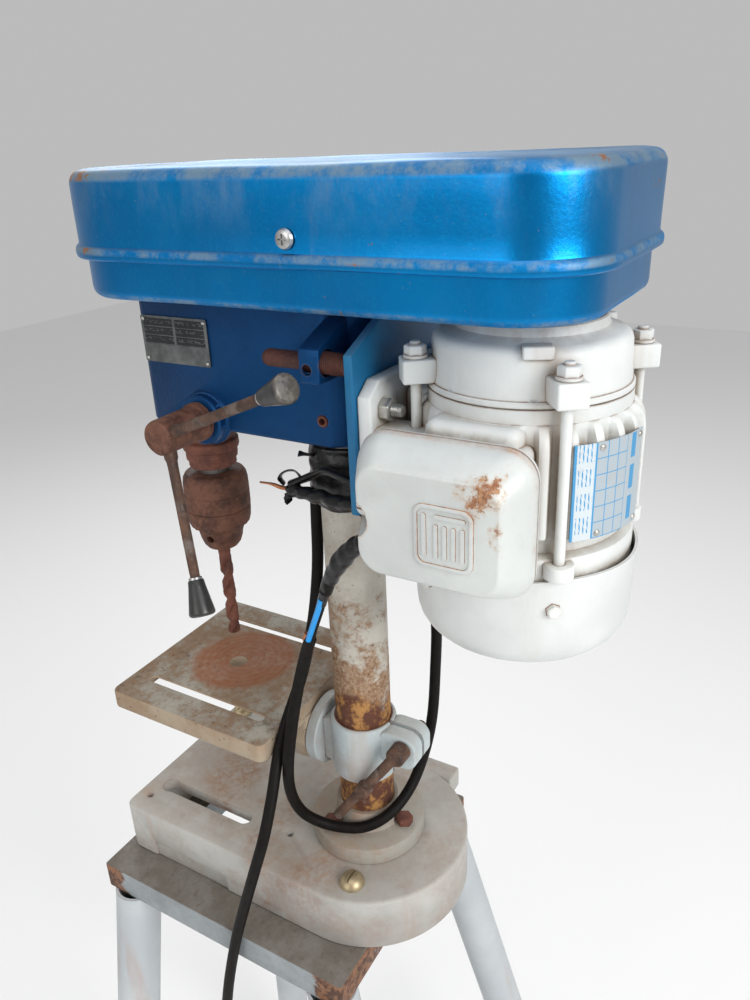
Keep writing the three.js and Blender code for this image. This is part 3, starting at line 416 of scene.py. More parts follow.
def finishes():
    """Makes the materials that are shared by several pieces."""
    made = [
        worn_paint("head_blue", (0.0015, 0.055, 0.175), (0.001, 0.033, 0.11), dust=0.12,
                   dust_colour=(0.1, 0.1, 0.1),
                   chips=0.2, chip_colour=(0.2, 0.07, 0.035), under=(0.02, 0.17,
                                                                     0.3), edge=0.1, edge_radius=0.003,
                   roughness=0.45, pebble=0.9, pebble_scale=330, metallic=0.6),
        worn_paint("motor_white", (0.76, 0.78, 0.76), (0.63, 0.65, 0.64), dust=0.16,
                   dust_colour=(0.6, 0.56, 0.5),
                   chips=0.52, chip_colour=(0.2, 0.085, 0.035), edge=0.36, edge_radius=0.003, roughness=0.42,
                   pebble=0.8, pebble_scale=240, streak=0.2, hollow_shade_and_grime=0.85),
        worn_paint("cast_grey", (0.47, 0.465, 0.44), (0.31, 0.295, 0.27), dust=0.45,
                   dust_colour=(0.27, 0.22, 0.17),
                   chips=0.25, chip_colour=(0.16, 0.085, 0.045), edge=0.28, edge_radius=0.004, roughness=0.6,
                   pebble=1.0, pebble_scale=260, rust_film=0.62, streak=0.3, rust_near=((0, -70, 52), 0.14)),
        stand_finish(),
        rusty("rust_brown", mid=(0.15, 0.066, 0.043), bright=(0.28, 0.13, 0.075)),
        rusty("rust_lever", dark=(0.05, 0.028, 0.02), mid=(0.12, 0.064, 0.042), bright=(0.21, 0.13, 0.085),
              shine=0.22),
        rusty("rust_red", dark=(0.085, 0.03, 0.021), mid=(0.17, 0.063, 0.042), bright=(0.3, 0.13, 0.075)),
        rusty("rust_rod", dark=(0.055, 0.022, 0.018), mid=(0.105, 0.04, 0.031), bright=(0.2, 0.085, 0.055)),
        plain_noise("zinc", (0.55, 0.54, 0.5), (0.36, 0.35, 0.32), 0.35, metallic=0.85),
        plain_noise("bare_steel", (0.5, 0.5, 0.49), (0.3, 0.3, 0.3), 0.3, metallic=0.9),
        plain_noise("brass", (0.58, 0.48, 0.3), (0.36, 0.28, 0.17), 0.42, metallic=0.75),
        plain_noise("sheath_black", (0.008, 0.0065, 0.0055), (0.004, 0.0032, 0.003), 0.52, scale=140,
                    bump=0.35, specular=0.12),
        plain_noise("tape_black", (0.009, 0.009, 0.01), (0.004, 0.004, 0.005), 0.3, scale=70, bump=0.5,
                    distance=0.0006, specular=0.35),
        plain_noise("wire_blue", (0.005, 0.34, 0.82), (0.005, 0.26, 0.7), 0.35, scale=60, bump=0.1),
        plain_noise("copper", (0.62, 0.25, 0.12), (0.4, 0.15, 0.07), 0.35, metallic=0.9, scale=200),
        plain_noise("cast_pulley", (0.5, 0.5, 0.5), (0.34, 0.34, 0.34), 0.4, metallic=0.8),
    ]
    for mat in made:
        FINISHES[mat.name] = mat
    FINISHES["column"] = column_finish()
    FINISHES["table"] = table_finish()


finishes()


# ---------------------------------------------------------------- mesh tools
def new_object(name, mesh):
    obj = bpy.data.objects.new(name, mesh)
    bpy.context.scene.collection.objects.link(obj)
    return obj


def smooth(obj, angle=32):
    """Smooth faces, with sharp edges wherever two meet at more than the angle."""
    for p in obj.data.polygons:
        p.use_smooth = True
    obj.data.set_sharp_from_angle(angle=math.radians(angle))


def from_bmesh(name, bm, angle=32):
    """Turns a bmesh into an object whose faces all point outwards."""
    bmesh.ops.recalc_face_normals(bm, faces=bm.faces)
    mesh = bpy.data.meshes.new(name)
    bm.to_mesh(mesh)
    bm.free()
    obj = new_object(name, mesh)
    smooth(obj, angle)
    return obj


def skin(name, rings, closed_ends=True, angle=32, loop=False):
    """A surface through rings of equal length, each a list of machine-frame points, first to last."""
    bm = bmesh.new()
    rows = [[bm.verts.new(at(*p)) for p in r] for r in rings]
    pairs = list(zip(rows, rows[1:])) + ([(rows[-1], rows[0])] if loop else [])
    for a, b in pairs:
        n = len(a)
        for i in range(n):
            j = (i + 1) % n
            bm.faces.new((a[i], a[j], b[j], b[i]))
    if closed_ends and not loop:
        bm.faces.new(rows[0])
        bm.faces.new(rows[-1])
    return from_bmesh(name, bm, angle)


def axis_point(axis, centre, u, v, h):
    """Local (u, v, h), with h along the named axis, placed at a machine-frame centre."""
    x, y, z = centre
    if axis == "z":
        return x + u, y + v, z + h
    if axis == "x":
        return x + h, y + u, z + v
    return x + v, y + h, z + u


def lathe(name, profile, centre=(0, 0, 0), axis="z", sides=72, angle=32, ripple=None):
    """Turns (radius, height) points round an axis; a profile that starts off the axis closes on itself."""
    solid = profile[0][0] < 1e-6
    points = profile[1:-1] if solid else profile
    rings = []
    for r, h in points:
        row = []
        for i in range(sides):
            a = 360.0 * i / sides
            u, v = ring(r + (ripple(a, r, h) if ripple else 0.0), a)
            row.append(axis_point(axis, centre, u, v, h))
        rings.append(row)
    return skin(name, rings, closed_ends=solid, angle=angle, loop=not solid)


def prism(name, outline, low, high, axis="z", centre=(0, 0, 0), bevel=0.0, segments=3, angle=32):
    """Pushes a flat outline along an axis, with optional rounded edges."""
    rows = [[axis_point(axis, centre, u, v, h) for u, v in outline] for h in (low, high)]
    obj = skin(name, rows, angle=angle)
    if bevel:
        round_edges(obj, bevel, segments)
    return obj


def circle(r, step):
    """A round outline with a corner every so many degrees."""
    return [ring(r, step * i) for i in range(round(360 / step))]


def bore(r, step, low, high, axis="z", centre=(0, 0, 0)):
    """A round cutter along an axis."""
    return prism("bore", circle(r, step), low, high, axis=axis, centre=centre)


def block(name, x0, x1, y0, y1, z0, z1, bevel=0.0, segments=3):
    """A box between two corners, with optional rounded edges."""
    return prism(name, [(x0, y0), (x1, y0), (x1, y1), (x0, y1)], z0, z1, bevel=bevel, segments=segments)


def apply_modifiers(obj, angle=32):
    """Bakes an object's modifiers into its mesh."""
    graph = bpy.context.evaluated_depsgraph_get()
    graph.update()
    mesh = bpy.data.meshes.new_from_object(obj.evaluated_get(graph))
    old = obj.data
    obj.modifiers.clear()
    obj.data = mesh
    bpy.data.meshes.remove(old)
    smooth(obj, angle)


def round_edges(obj, width, segments=3, limit=28, angle=32):
    """Rounds every edge sharper than the limit, by a width in millimetres."""
    mod = obj.modifiers.new("bevel", "BEVEL")
    mod.width = width / 1000.0
    mod.segments = segments
    mod.limit_method = "ANGLE"
    mod.angle_limit = math.radians(limit)
    mod.use_clamp_overlap = True
    apply_modifiers(obj, angle)


def combine(obj, others, operation, angle=32):
    """Adds or cuts other objects, which are used up."""
    for other in others:
        mod = obj.modifiers.new("bool", "BOOLEAN")
        mod.operation = operation
        mod.solver = "EXACT"
        mod.object = other
    apply_modifiers(obj, angle)
    for other in others:
        bpy.data.objects.remove(other)
    return obj


def join(obj, *others):
    return combine(obj, others, "UNION")


def cut(obj, *others):
    return combine(obj, others, "DIFFERENCE")


def rod(name, start, end, r, sides=28, profile=None, angle=32):
    """A bar between two machine-frame points; profile, if given, is its (distance share, radius) rings."""
    a, b = Vector(start), Vector(end)
    way = (b - a).normalized()
    side = way.orthogonal().normalized()
    other = way.cross(side)
    rings = []
    for share, radius in profile or [(0.0, r), (1.0, r)]:
        c = a.lerp(b, share)
        spokes = [ring(radius, 360.0 * i / sides) for i in range(sides)]
        rings.append([tuple(c + side * u + other * v) for u, v in spokes])
    return skin(name, rings, angle=angle)


def rounded(x0, x1, y0, y1, r, steps=8):
    """A rectangle with corners rounded to radius r."""
    points = []
    for cx, cy, start in ((x1 - r, y0 + r, -90), (x1 - r, y1 - r, 0), (x0 + r, y1 - r, 90),
                          (x0 + r, y0 + r, 180)):
        for i in range(steps + 1):
            dx, dy = ring(r, start + 90.0 * i / steps)
            points.append((cx + dx, cy + dy))
    return points


def hexagon(across):
    """Six corners, given the width across flats."""
    r = across / math.sqrt(3)
    return [ring(r, 60 * i) for i in range(6)]


def hex_head(name, across, low, high, axis, centre):
    """A hexagon whose outer corners are turned off like a real bolt head."""
    step = 0.12 * across
    rows = []
    for h, size in ((low, 1.0), (high - step * 0.45, 1.0), (high, 0.86)):
        rows.append([axis_point(axis, centre, u * size, v * size, h) for u, v in hexagon(across)])
    obj = skin(name, rows, angle=20)
    round_edges(obj, 0.35, 2, limit=20, angle=25)
    return obj


def dented(obj, amount, scale):
    """Moves each vertex a little along its normal, so sheet and cast faces aren't dead flat."""
    for v in obj.data.vertices:
        v.co += v.normal * noise.noise(v.co * scale) * amount / 1000.0
    return obj


def finish(obj, finish_name, body, *replaced, slot=None):
    """Gives a piece its finish and body, and says which CAD nodes it replaces; the slot argument is not used."""
    obj.data.materials.clear()
    obj.data.materials.append(FINISHES[finish_name])
    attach(obj, body)
    if replaced:
        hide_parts(*replaced)
    return obj


def repaint(node, finish_name):
    """Gives a CAD node that stays visible its finish."""
    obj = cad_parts[node]
    if not obj.material_slots:
        obj.data.materials.append(FINISHES[finish_name])
    for s in obj.material_slots:
        s.material = FINISHES[finish_name]


# ---------------------------------------------------------------- cords
MOTOR_LEAD = [
    (84, 66, 385.6), (83.8, 61.2, 382), (83.2, 54.2, 376.4), (82.3, 46.6, 368.6), (80.8, 38.8, 358.4),
    (79, 31.2, 346.2), (76.3, 23.9, 331.8), (72.6, 15.8, 314.2), (67, 5.4, 293.6), (61.4, -5, 272.6),
    (58.6, -13.8, 250.2), (60.2, -20, 226), (67.5, -23.5, 193), (73.5, -25, 165), (70, -29, 136),
    (60, -31, 107), (52.8, -27.2, 91.9), (44.2, -16.2, 80.7), (36.8, -1.1, 76.7), (31, 13, 78.5), (22.5, 25,
                                                                                                   84),
    (9, 33.5, 91), (-8, 38, 100), (-24, 41, 117), (-39, 43.5, 150), (-50, 42.5, 200), (-50, 43.5, 250),
    (-44, 40, 300), (-36, 28, 340), (-29, 17, 360)]
SUPPLY = [
    (4, -29.5, 360), (5, -29.5, 345), (7, -30, 311), (13, -32, 272), (21, -35, 240), (30, -38.5, 213),
    (43, -38.5, 199), (57.5, -37.5, 185), (71, -36.6, 166), (90, -31.5, 141), (106, -30, 115), (114, -38,
                                                                                                80),
    (118, -49, 42), (123, -60, 0), (129, -75, -76), (128, -92, -200), (114, -106, -360), (96, -114, -520),
    (80, -113, -640), (70, -104, -700), (65.6, -82, -741), (64.7, -60, -753.5), (64.7, -42, -754.9)]


def catmull(points, steps=8):
    """Centripetal Catmull-Rom through the points, as the route is drawn in the CAD."""
    pts = [Vector(p) for p in points]
    pts = [pts[0] * 2 - pts[1]] + pts + [pts[-1] * 2 - pts[-2]]
    out = []
    for i in range(1, len(pts) - 2):
        p = pts[i - 1:i + 3]
        t = [0.0]
        for a, b in zip(p, p[1:]):
            t.append(t[-1] + math.sqrt((b - a).length))
        for k in range(steps):
            s = t[1] + (t[2] - t[1]) * k / steps
            a1 = p[0].lerp(p[1], (s - t[0]) / (t[1] - t[0]))
            a2 = p[1].lerp(p[2], (s - t[1]) / (t[2] - t[1]))
            a3 = p[2].lerp(p[3], (s - t[2]) / (t[3] - t[2]))
            b1 = a1.lerp(a2, (s - t[0]) / (t[2] - t[0]))
            b2 = a2.lerp(a3, (s - t[1]) / (t[3] - t[1]))
            out.append(b1.lerp(b2, (s - t[1]) / (t[2] - t[1])))
    out.append(pts[-2])
    return out


def coil_points(turns=4.5, per_turn=24):
    """Two turns spiral in on the floor, then the rest spirals out on top of them."""
    points = []
    for i in range(1, int(turns * per_turn) + 1):
        t = i / per_turn
        climb = min(1.0, max(0.0, (t - 2.0) / 0.35))
        climb = climb * climb * (3 - 2 * climb)
        r = 64.7 - 9.6 * t if t < 2.35 else 42.14 + (65 - 42.14) * (t - 2.35) / (turns - 2.35)
        u, v = ring(r, 360 * t)
        points.append((COIL_CENTRE[0] + u, COIL_CENTRE[1] + v, FLOOR + CORD_R + 0.35 + climb * 9.4))
    return points


def cord_curve(name, points, radius, finish_name):
    """A free cord as a curve of one open spline."""
    data = bpy.data.curves.new(name, "CURVE")
    data.dimensions = "3D"
    data.bevel_depth = radius / 1000.0
    data.bevel_resolution = 7
    data.use_fill_caps = True
    spline = data.splines.new("POLY")
    spline.points.add(len(points) - 1)
    for p, q in zip(spline.points, points):
        p.co = (*at(*q), 1.0)
    obj = new_object(name, data)
    obj.data.materials.append(FINISHES[finish_name])
    return obj


def tube_along(name, points, radius_at, sides=20, angle=60):
    """A tube of varying radius: radius_at(share of the way, degrees round it), in millimetres."""
    pts = [Vector(p) for p in points]
    side = (pts[1] - pts[0]).orthogonal().normalized()
    rings = []
    for i, p in enumerate(pts):
        way = (pts[min(i + 1, len(pts) - 1)] - pts[max(i - 1, 0)]).normalized()
        side = (side - way * side.dot(way)).normalized()
        other = way.cross(side)
        row = []
        for k in range(sides):
            a = 360.0 * k / sides
            u, v = ring(radius_at(i / (len(pts) - 1), a), a)
            row.append(tuple(p + side * u + other * v))
        rings.append(row)
    return skin(name, rings, angle=angle)


def finer(points, steps=3):
    """Extra points between the given ones, on straight lines."""
    out = []
    for a, b in zip(points, points[1:]):
        out += [a.lerp(b, k / steps) for k in range(steps)]
    return out + [points[-1]]


def stripped_shares(lead):
    """Where the sheath is cut away on the upper run, as shares of the route's points."""
    count = len(lead) - 1
    high = next(i for i, p in enumerate(lead) if p.z < 334)
    low = next(i for i, p in enumerate(lead) if p.z < 283)
    return high / count, low / count


def gland_point(distance):
    """A point on the axis of the lead's gland, which slopes forward and down out of the terminal box."""
    return 84, 71.8 - 0.8 * distance, 390 - 0.6 * distance


def cords():
    """The motor lead, the supply cord with its coil and plug, and what shows of their wires."""
    lead = catmull(MOTOR_LEAD)
    strip_from, strip_to = stripped_shares(lead)

    def sheath(s, a):
        inside = strip_from < s < strip_to
        return 2.7 + 0.3 * math.sin(math.radians(3 * a)) if inside else CORD_R

    piece = tube_along("motor_lead_cord", finer(lead), sheath, sides=24)
    piece.data.materials.append(FINISHES["sheath_black"])
    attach(piece, "press")
    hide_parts("motor_lead")

    supply = catmull(SUPPLY)
    run = supply + [Vector(p) for p in coil_points()]
    mains = cord_curve("supply_cord_run", run, CORD_R, "sheath_black")
    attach(mains, "press")
    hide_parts("supply_cord", "cord_coil")

    # The plug lies at the height at which the coil's last turn leaves it.
    x, y, z = -65, -40, FLOOR + CORD_R + 9.75
    relief = [(x, y - 1 - 1.5 * i, z) for i in range(24)]

    def relief_radius(s, a):
        ridge = 0.7 if int(s * 24) % 3 == 0 and s < 0.9 else 0.0
        return 4.75 + 3.2 * s + ridge

    wrap = tube_along("plug_strain_relief", relief, relief_radius, sides=28)
    body = [(x, y - 34 - 44 * i / 22, z) for i in range(23)]

    def plug_radius(s, a):
        shape = 8.5 + 5.2 * min(1.0, s * 2.6) ** 0.7 - (1.6 if 0.42 < s < 0.62 else 0.0)
        return min(shape, 13.9) * (1.0 if s < 0.97 else 0.93)

    plug = tube_along("plug_body", body, plug_radius, sides=40, angle=40)
    pins = []
    for side in (-1, 1):
        px = x + side * 9.5
        pins.append(rod("plug_pin_%s" % ("left" if side < 0 else "right"), (px, y - 77, z), (px, y - 96, z),
                        2.4, profile=[(0, 2.4), (0.86, 2.4), (0.96, 1.9), (1.0, 0.9)]))
    finish(wrap, "sheath_black", "press")
    finish(plug, "sheath_black", "press", "mains_plug")
    for pin in pins:
        finish(pin, "zinc", "press")
    loop = [ring(1.0, 360.0 * i / 40) for i in range(41)]
    for number, degrees in ((1, 75), (2, 255)):
        c, s = math.cos(math.radians(degrees)), math.sin(math.radians(degrees))
        band = [((54 + 17.5 * u) * c, COIL_CENTRE[1] + (54 + 17.5 * u) * s, FLOOR + 11.2 + 9.6 * v) for u,
                v in loop]
        tie = tube_along("coil_tie_%d" % number, band, lambda share,
                         a: 0.9 + 0.5 * abs(math.sin(math.radians(a))), 10)
        finish(tie, "tape_black", "press")

    gland = tube_along("motor_lead_gland", [gland_point(t) for t in range(3, 15)],
                       lambda s, a: 6.9 - 1.9 * s + (0.5 if int(s * 11) % 3 == 1 else 0.0), sides=28)
    finish(gland, "sheath_black", "press")

    # Black tape wound on the lead's upper end; below it the sheath is stripped down to its wires.
    count = len(lead) - 1
    first, last = round(strip_from * count), round(strip_to * count)
    taped_way = lead[3:first + 7]

    def taped(s, a):
        turn = 0.5 * math.sin(s * 44 + math.radians(a)) + 0.4 * math.sin(s * 25 + math.radians(2 * a) + 1.0)
        lump = 1.0 * math.exp(-((s - 0.45) / 0.2) ** 2)
        return (5.5 + lump + turn * 0.5) * (1 - 0.42 * max(0.0, (s - 0.62) / 0.38) ** 1.2)

    tape = tube_along("lead_tape_wrap", catmull(taped_way[::2], 7), taped, sides=30)
    finish(tape, "tape_black", "press")
    near = Vector((0.72, 0.1, 0.42)) * 3.2
    wire_way = catmull([p + near for p in lead[first + 4:last + 2]], 3)
    wire = tube_along("bare_wire_blue", wire_way, lambda s, a: 2.15, sides=20)
    finish(wire, "wire_blue", "press")
    side = Vector((0.2, -3.4, 0.6))
    lower = lead[last - 2:last + 2]
    core = tube_along("bare_wire_copper", catmull([p + near * 0.8 + side for p in lower], 4), lambda s,
                      a: 1.5, sides=16)
    finish(core, "copper", "press")


cords()


# ---------------------------------------------------------------- stand and base
def stand():
    """The stand's rails and its four tube legs."""
    halfx, front, rear, rail, deep, wall = 117, -221, 40, 38, 27, 3
    whole = prism("stand_rails", rounded(-halfx, halfx, front, rear, 3), -deep, 0, bevel=1.4)
    hole = prism("c1", rounded(-halfx + rail, halfx - rail, front + rail, rear - rail, 2.5), -deep - 5, 5)
    under_out = rounded(-halfx + wall, halfx - wall, front + wall, rear - wall, 2)
    under = prism("c2", under_out, -deep - 5, -wall)
    keep = prism("c3", rounded(-halfx + rail - wall, halfx - rail + wall, front + rail - wall,
                               rear - rail + wall, 2),
                 -deep - 6, 6)
    under = cut(under, keep)
    whole = cut(whole, hole, under)
    pads = []
    for sx in (-1, 1):
        for y0 in (front + 1, rear - rail + 1):
            x0 = -halfx + 1 if sx < 0 else halfx - rail + 1
            pads.append(block("pad", x0, x0 + rail - 2, y0, y0 + rail - 2, -deep, -deep + wall, bevel=0.6))
    whole = join(whole, *pads)
    finish(whole, "stand_grey", "press", "stand_frame")
    rows = {"front": (-198, -275), "rear": (20, 195)}
    for hand, sx in (("left", -1), ("right", 1)):
        for end, (top_y, foot_y) in rows.items():
            rings = []
            length = STAND_HEIGHT - deep - 0.3
            levels = [(20.2, 0.0), *[(21, 0.0012 + k / 12 * 0.9988) for k in range(13)]]
            levels += [(18.5, 1.0), (18.5, 0.0)]
            for r, share in levels:
                cx = sx * (177 + (102 - 177) * share)
                cy = foot_y + (top_y - foot_y) * share
                rings.append([(cx + u, cy + v, FLOOR + length * share) for u, v in circle(r, 7.5)])
            leg = skin("leg_%s_%s" % (end, hand), rings, loop=True, angle=40)
            finish(leg, "leg_paint", "press", "stand_leg_%s_%s" % (end, hand))


def base_outline(inset, corner=8, steps=8):
    """The base from above: square at the front, half round at the back."""
    half, front = 87 - inset, -213.5 + inset
    right = [ring(corner, -90 + 90 * i / steps) for i in range(steps + 1)]
    left = [ring(corner, 180 + 90 * i / steps) for i in range(steps + 1)]
    points = [(half - corner + u, front + corner + v) for u, v in right]
    points += [ring(half, 180 * i / 60) for i in range(61)]
    return points + [(-half + corner + u, front + corner + v) for u, v in left]


def keyhole(x, r=8, half=6.5, y=-190, back=-95, opening=55, steps=24):
    """A slot with a round opening at its front end."""
    arc = [ring(r, 90 + opening + i * (360 - 2 * opening) / steps) for i in range(steps + 1)]
    tail = [ring(half, 90 - 90 * (1 - 2 * i / 12)) for i in range(13)]
    return [(x + u, y + v) for u, v in arc] + [(x + u, back - half + v) for u, v in tail]


def base():
    """The cast base with its slots, holes and bolts."""
    top, plate, wall = 52, 10, 8
    body = prism("base_plate", base_outline(0), 0.3, top, bevel=3.0, segments=4)
    hollow = prism("c", base_outline(wall), -3, top - plate)
    body = cut(body, hollow)
    ear = block("ear", -100, -80, 8, 42, top - 22, top - 0.4, bevel=2.5)
    bosses = [prism("boss", circle(11, 10), 0.4, top - 1, centre=(x, y, 0))
              for x, y in BASE_BOLTS.values()]
    middle = prism("middle", circle(51, 5), 20, top - 1)
    body = join(body, ear, middle, *bosses)
    cutters = [prism("arch", rounded(-183, -97, -30, 19, 5), low, high, axis="x")
               for low, high in ((-120, -84.0), (84.0, 120))]
    cutters.append(bore(19.5, 7.5, 15, top + 3))
    cutters += [prism("key", keyhole(x), 25, top + 3) for x in (-50, 50)]
    cutters += [bore(3, 15, 25, top + 3, centre=(x, y, 0))
                for x, y in ((69, -199), (46, -54))]
    body = cut(body, *cutters)
    round_edges(body, 0.7, 2, limit=50)
    finish(body, "cast_grey", "press", "base_casting")
    for hand, (bx, by) in BASE_BOLTS.items():
        at_bolt = (bx, by, 0)
        z = top + 0.3
        dome = lathe("base_bolt_%s_dome" % hand,
                     [(0, -13), (4, -13), (4, z), (10.5, z), (10.4, z + 1.2), (9.6, z + 3.4), (8, z + 5.5),
                      (5.6, z + 7.2), (2.8, z + 8.1), (0, z + 8.3)], at_bolt, sides=48)
        slot = block("s", bx - 12, bx + 12, by - 0.8, by + 0.8, z + 6.2, z + 10)
        dome = cut(dome, slot)
        finish(dome, "brass", "press", "base_bolt_%s" % hand)
        nut = hex_head("base_bolt_%s_nut" % hand, 13, -9.8, -3.3, "z", at_bolt)
        finish(nut, "zinc", "press")


# ---------------------------------------------------------------- column and table
def column():
    """The column, its flange and the flange's bolts."""
    tube = lathe("column_tube", [(19.5, 52.3), (22.4, 52.3), (23, 53), (23, 503.3), (22.4, 504),
                                 (19.5, 504)], sides=128)
    finish(tube, "column", "press", "column")
    low = 52.3
    foot = lathe("column_flange_casting",
                 [(23.3, low), (48.4, low), (49, low + 0.6), (49, 66), (48.4, 67.3), (47, 68), (33, 68),
                  (30.4, 68.8), (28.9, 70.6), (28.2, 74), (27.2, 84.5), (26.2, 86), (23.3, 86)], sides=128)
    cutters = []
    for a in FLANGE_BOLT_ANGLES:
        cutters.append(bore(9, 10, 68, 90, centre=(*ring(FLANGE_BOLT_R, a), 0)))
    foot = cut(foot, *cutters)
    finish(foot, "flange_grey", "press", "column_flange")
    for number, a in enumerate(FLANGE_BOLT_ANGLES, 1):
        centre = (*ring(FLANGE_BOLT_R, a), 0)
        head = hex_head("flange_bolt_%d_head" % number, 13, 68.3, 74.8, "z", centre)
        shank = lathe("shank", [(0, 22), (4, 22), (4, 69), (0, 69)], centre, sides=24)
        head = join(head, shank)
        finish(head, "rust_red", "press", "flange_bolt_%d" % number)


def bracket():
    """The table's split collar, its liner and its clamp lever."""
    collar = lathe("table_bracket_casting", [(24.5, 119), (26.6, 119), (27.5, 120), (27.5, 168.6),
                                             (27, 170.6), (25.6, 172), (24.5, 172)], sides=96)
    ears = prism("ears", rounded(20, 55.5, 140, 171, 11), -14, 14, axis="x", bevel=2.0)
    arm = prism("arm", [(-20, 123), (-33, 126), (-33, 166), (-20, 168)], -17, 17, axis="x", bevel=2.0)
    face = lathe("disc", [(0, -40), (30.2, -40), (31, -39.2), (31, -31.4), (29.6, -30), (0, -30)], TILT_AXIS,
                 "y", 96)
    collar = join(collar, ears, arm, face)
    inner = bore(24.5, 5, 110, 180)
    slit = block("slit", -1.5, 1.5, 19, 62, 110, 180)
    through = bore(4.4, 15, -20, 20, axis="x", centre=CLAMP_AXIS)
    tilt = bore(5.3, 15, -45, -25.5, axis="y", centre=TILT_AXIS)
    collar = cut(collar, inner, slit, through, tilt)
    finish(collar, "bracket_grey", "table_bracket", "table_bracket")
    liner = lathe("collar_sleeve", [(23.3, 120), (24.2, 120), (24.2, 171.5), (23.3, 171.5)], sides=96)
    finish(liner, "rust_red", "liner", "collar_liner", slot="column_steel")

    # The clamp: a turned boss on the ear with a worn bar through its eye.
    boss = lathe("clamp_lever_bar", [(0, 14.3), (7.2, 14.3), (8, 15.2), (8, 26.6), (6.9, 28.3), (0, 28.3)],
                 CLAMP_AXIS, "x", 40)
    screw = lathe("screw", [(0, -21.3), (3.4, -21.3), (4, -20.6), (4, 15), (0, 15)], CLAMP_AXIS, "x", 24)
    bar = rod("bar", (23.5, 47.5, 166.5), (37, -8, 87), 4.3,
              profile=[(0.0, 2.6), (0.01, 3.9), (0.03, 4.5), (0.9, 4.2), (0.975, 4.3), (0.992, 3.6),
                       (1.0, 2.0)])
    eye = lathe("eye", [(0, -5.2), (5.6, -5.2), (6.6, -4.2), (6.6, 4.2), (5.6, 5.2), (0, 5.2)],
                (31.2, 16, 121), "x", 32)
    boss = join(boss, screw, bar, eye)
    finish(dented(boss, 0.35, 160), "rust_lever", "clamp_lever", "clamp_lever")


def table():
    """The tilting table and its bolt."""
    halfx, front, rear, top, skirt, plate, wall = 84.2, -205, -42, 181, 17.5, 9, 7
    low, hang = top - skirt, -40.3
    body = prism("table_casting", rounded(-halfx, halfx, front, rear, 7), low, top, bevel=2.2, segments=4)
    under = prism("u", rounded(-halfx + wall, halfx - wall, front + wall, rear - wall, 4), low - 4,
                  top - plate)
    body = cut(body, under)
    lug = prism("lug", [(low + 6, -26), (145, -31), (123, -22), (114, 0), (123, 22), (145, 31),
                        (low + 6, 26)],
                hang - 16, hang, axis="y", bevel=2.0)
    bridge = block("bridge", -26, 26, hang - 16, rear - 0.5, low, top - plate + 1)
    parts = [lug, bridge]
    parts.append(prism("boss", circle(16, 7.5), low + 3, top - plate + 1, centre=(0, SPINDLE_Y, 0)))
    body = join(body, *parts)
    cutters = [prism("slot", rounded(x - 4.25, x + 4.25, -186, -61, 4.2), low - 3,
                     top + 3) for x in (-SLOT_X, SLOT_X)]
    # Each slot opens out below, which leaves a thin lip at the top.
    for x in (-SLOT_X, SLOT_X):
        relief = [[(u, v, z) for u, v in rounded(x - 4.25 - e, x + 4.25 + e, -186 - e / 3, -61 + e / 3, 4.2)]
                  for z, e in ((low - 3, 16), (top - plate - 0.5, 16), (top - 1.8, 0))]
        cutters.append(skin("relief", relief))
    cutters.append(bore(8, 7.5, low - 3, top + 3, centre=(0, SPINDLE_Y, 0)))
    cutters.append(bore(5.3, 15, hang - 20, hang + 3, axis="y", centre=TILT_AXIS))
    body = cut(body, *cutters)
    round_edges(body, 0.7, 2, limit=50)
    finish(body, "table", "table", "table")
    head = hex_head("tilt_bolt_head", 17, 56.9, 63.9, "y", (0, 0, 0))
    # The head is made behind the column's axis, then mirrored to the front and raised to the tilt axis.
    for v in head.data.vertices:
        v.co.y = -v.co.y + 2 * at(0, 0, 0).y
        v.co.z += 0.145
    head.data.flip_normals()
    shank = lathe("shank", [(0, -57.5), (5, -57.5), (5, -26), (0, -26)], TILT_AXIS, "y", 32)
    finish(join(head, shank), "rust_red", "table", "tilt_bolt")


FINISHES["leg_paint"] = worn_paint("leg_paint", (0.5, 0.53, 0.54), (0.41, 0.44, 0.46), dust=0.1, chips=0.1,
                                   edge=0.1, roughness=0.45, pebble=0.3, streak=0.35)
FINISHES["bracket_grey"] = worn_paint("bracket_grey", (0.5, 0.57, 0.58), (0.38, 0.43, 0.44), dust=0.35,
                                      chips=0.3,
                                      edge=0.3, dust_colour=(0.34, 0.3,
                                                             0.25), edge_radius=0.003, roughness=0.5,
                                      pebble=0.9, pebble_scale=260, rust_film=0.25, streak=0.25)
FINISHES["flange_grey"] = worn_paint("flange_grey", (0.35, 0.34, 0.305), (0.25, 0.225, 0.19), dust=0.45,
                                     chips=0.3, edge=0.3,
                                     dust_colour=(0.3, 0.25,
                                                  0.19), edge_radius=0.003, roughness=0.55, pebble=0.9,
                                     pebble_scale=260, rust_film=0.5, streak=0.3)
stand()
base()
column()
bracket()
table()


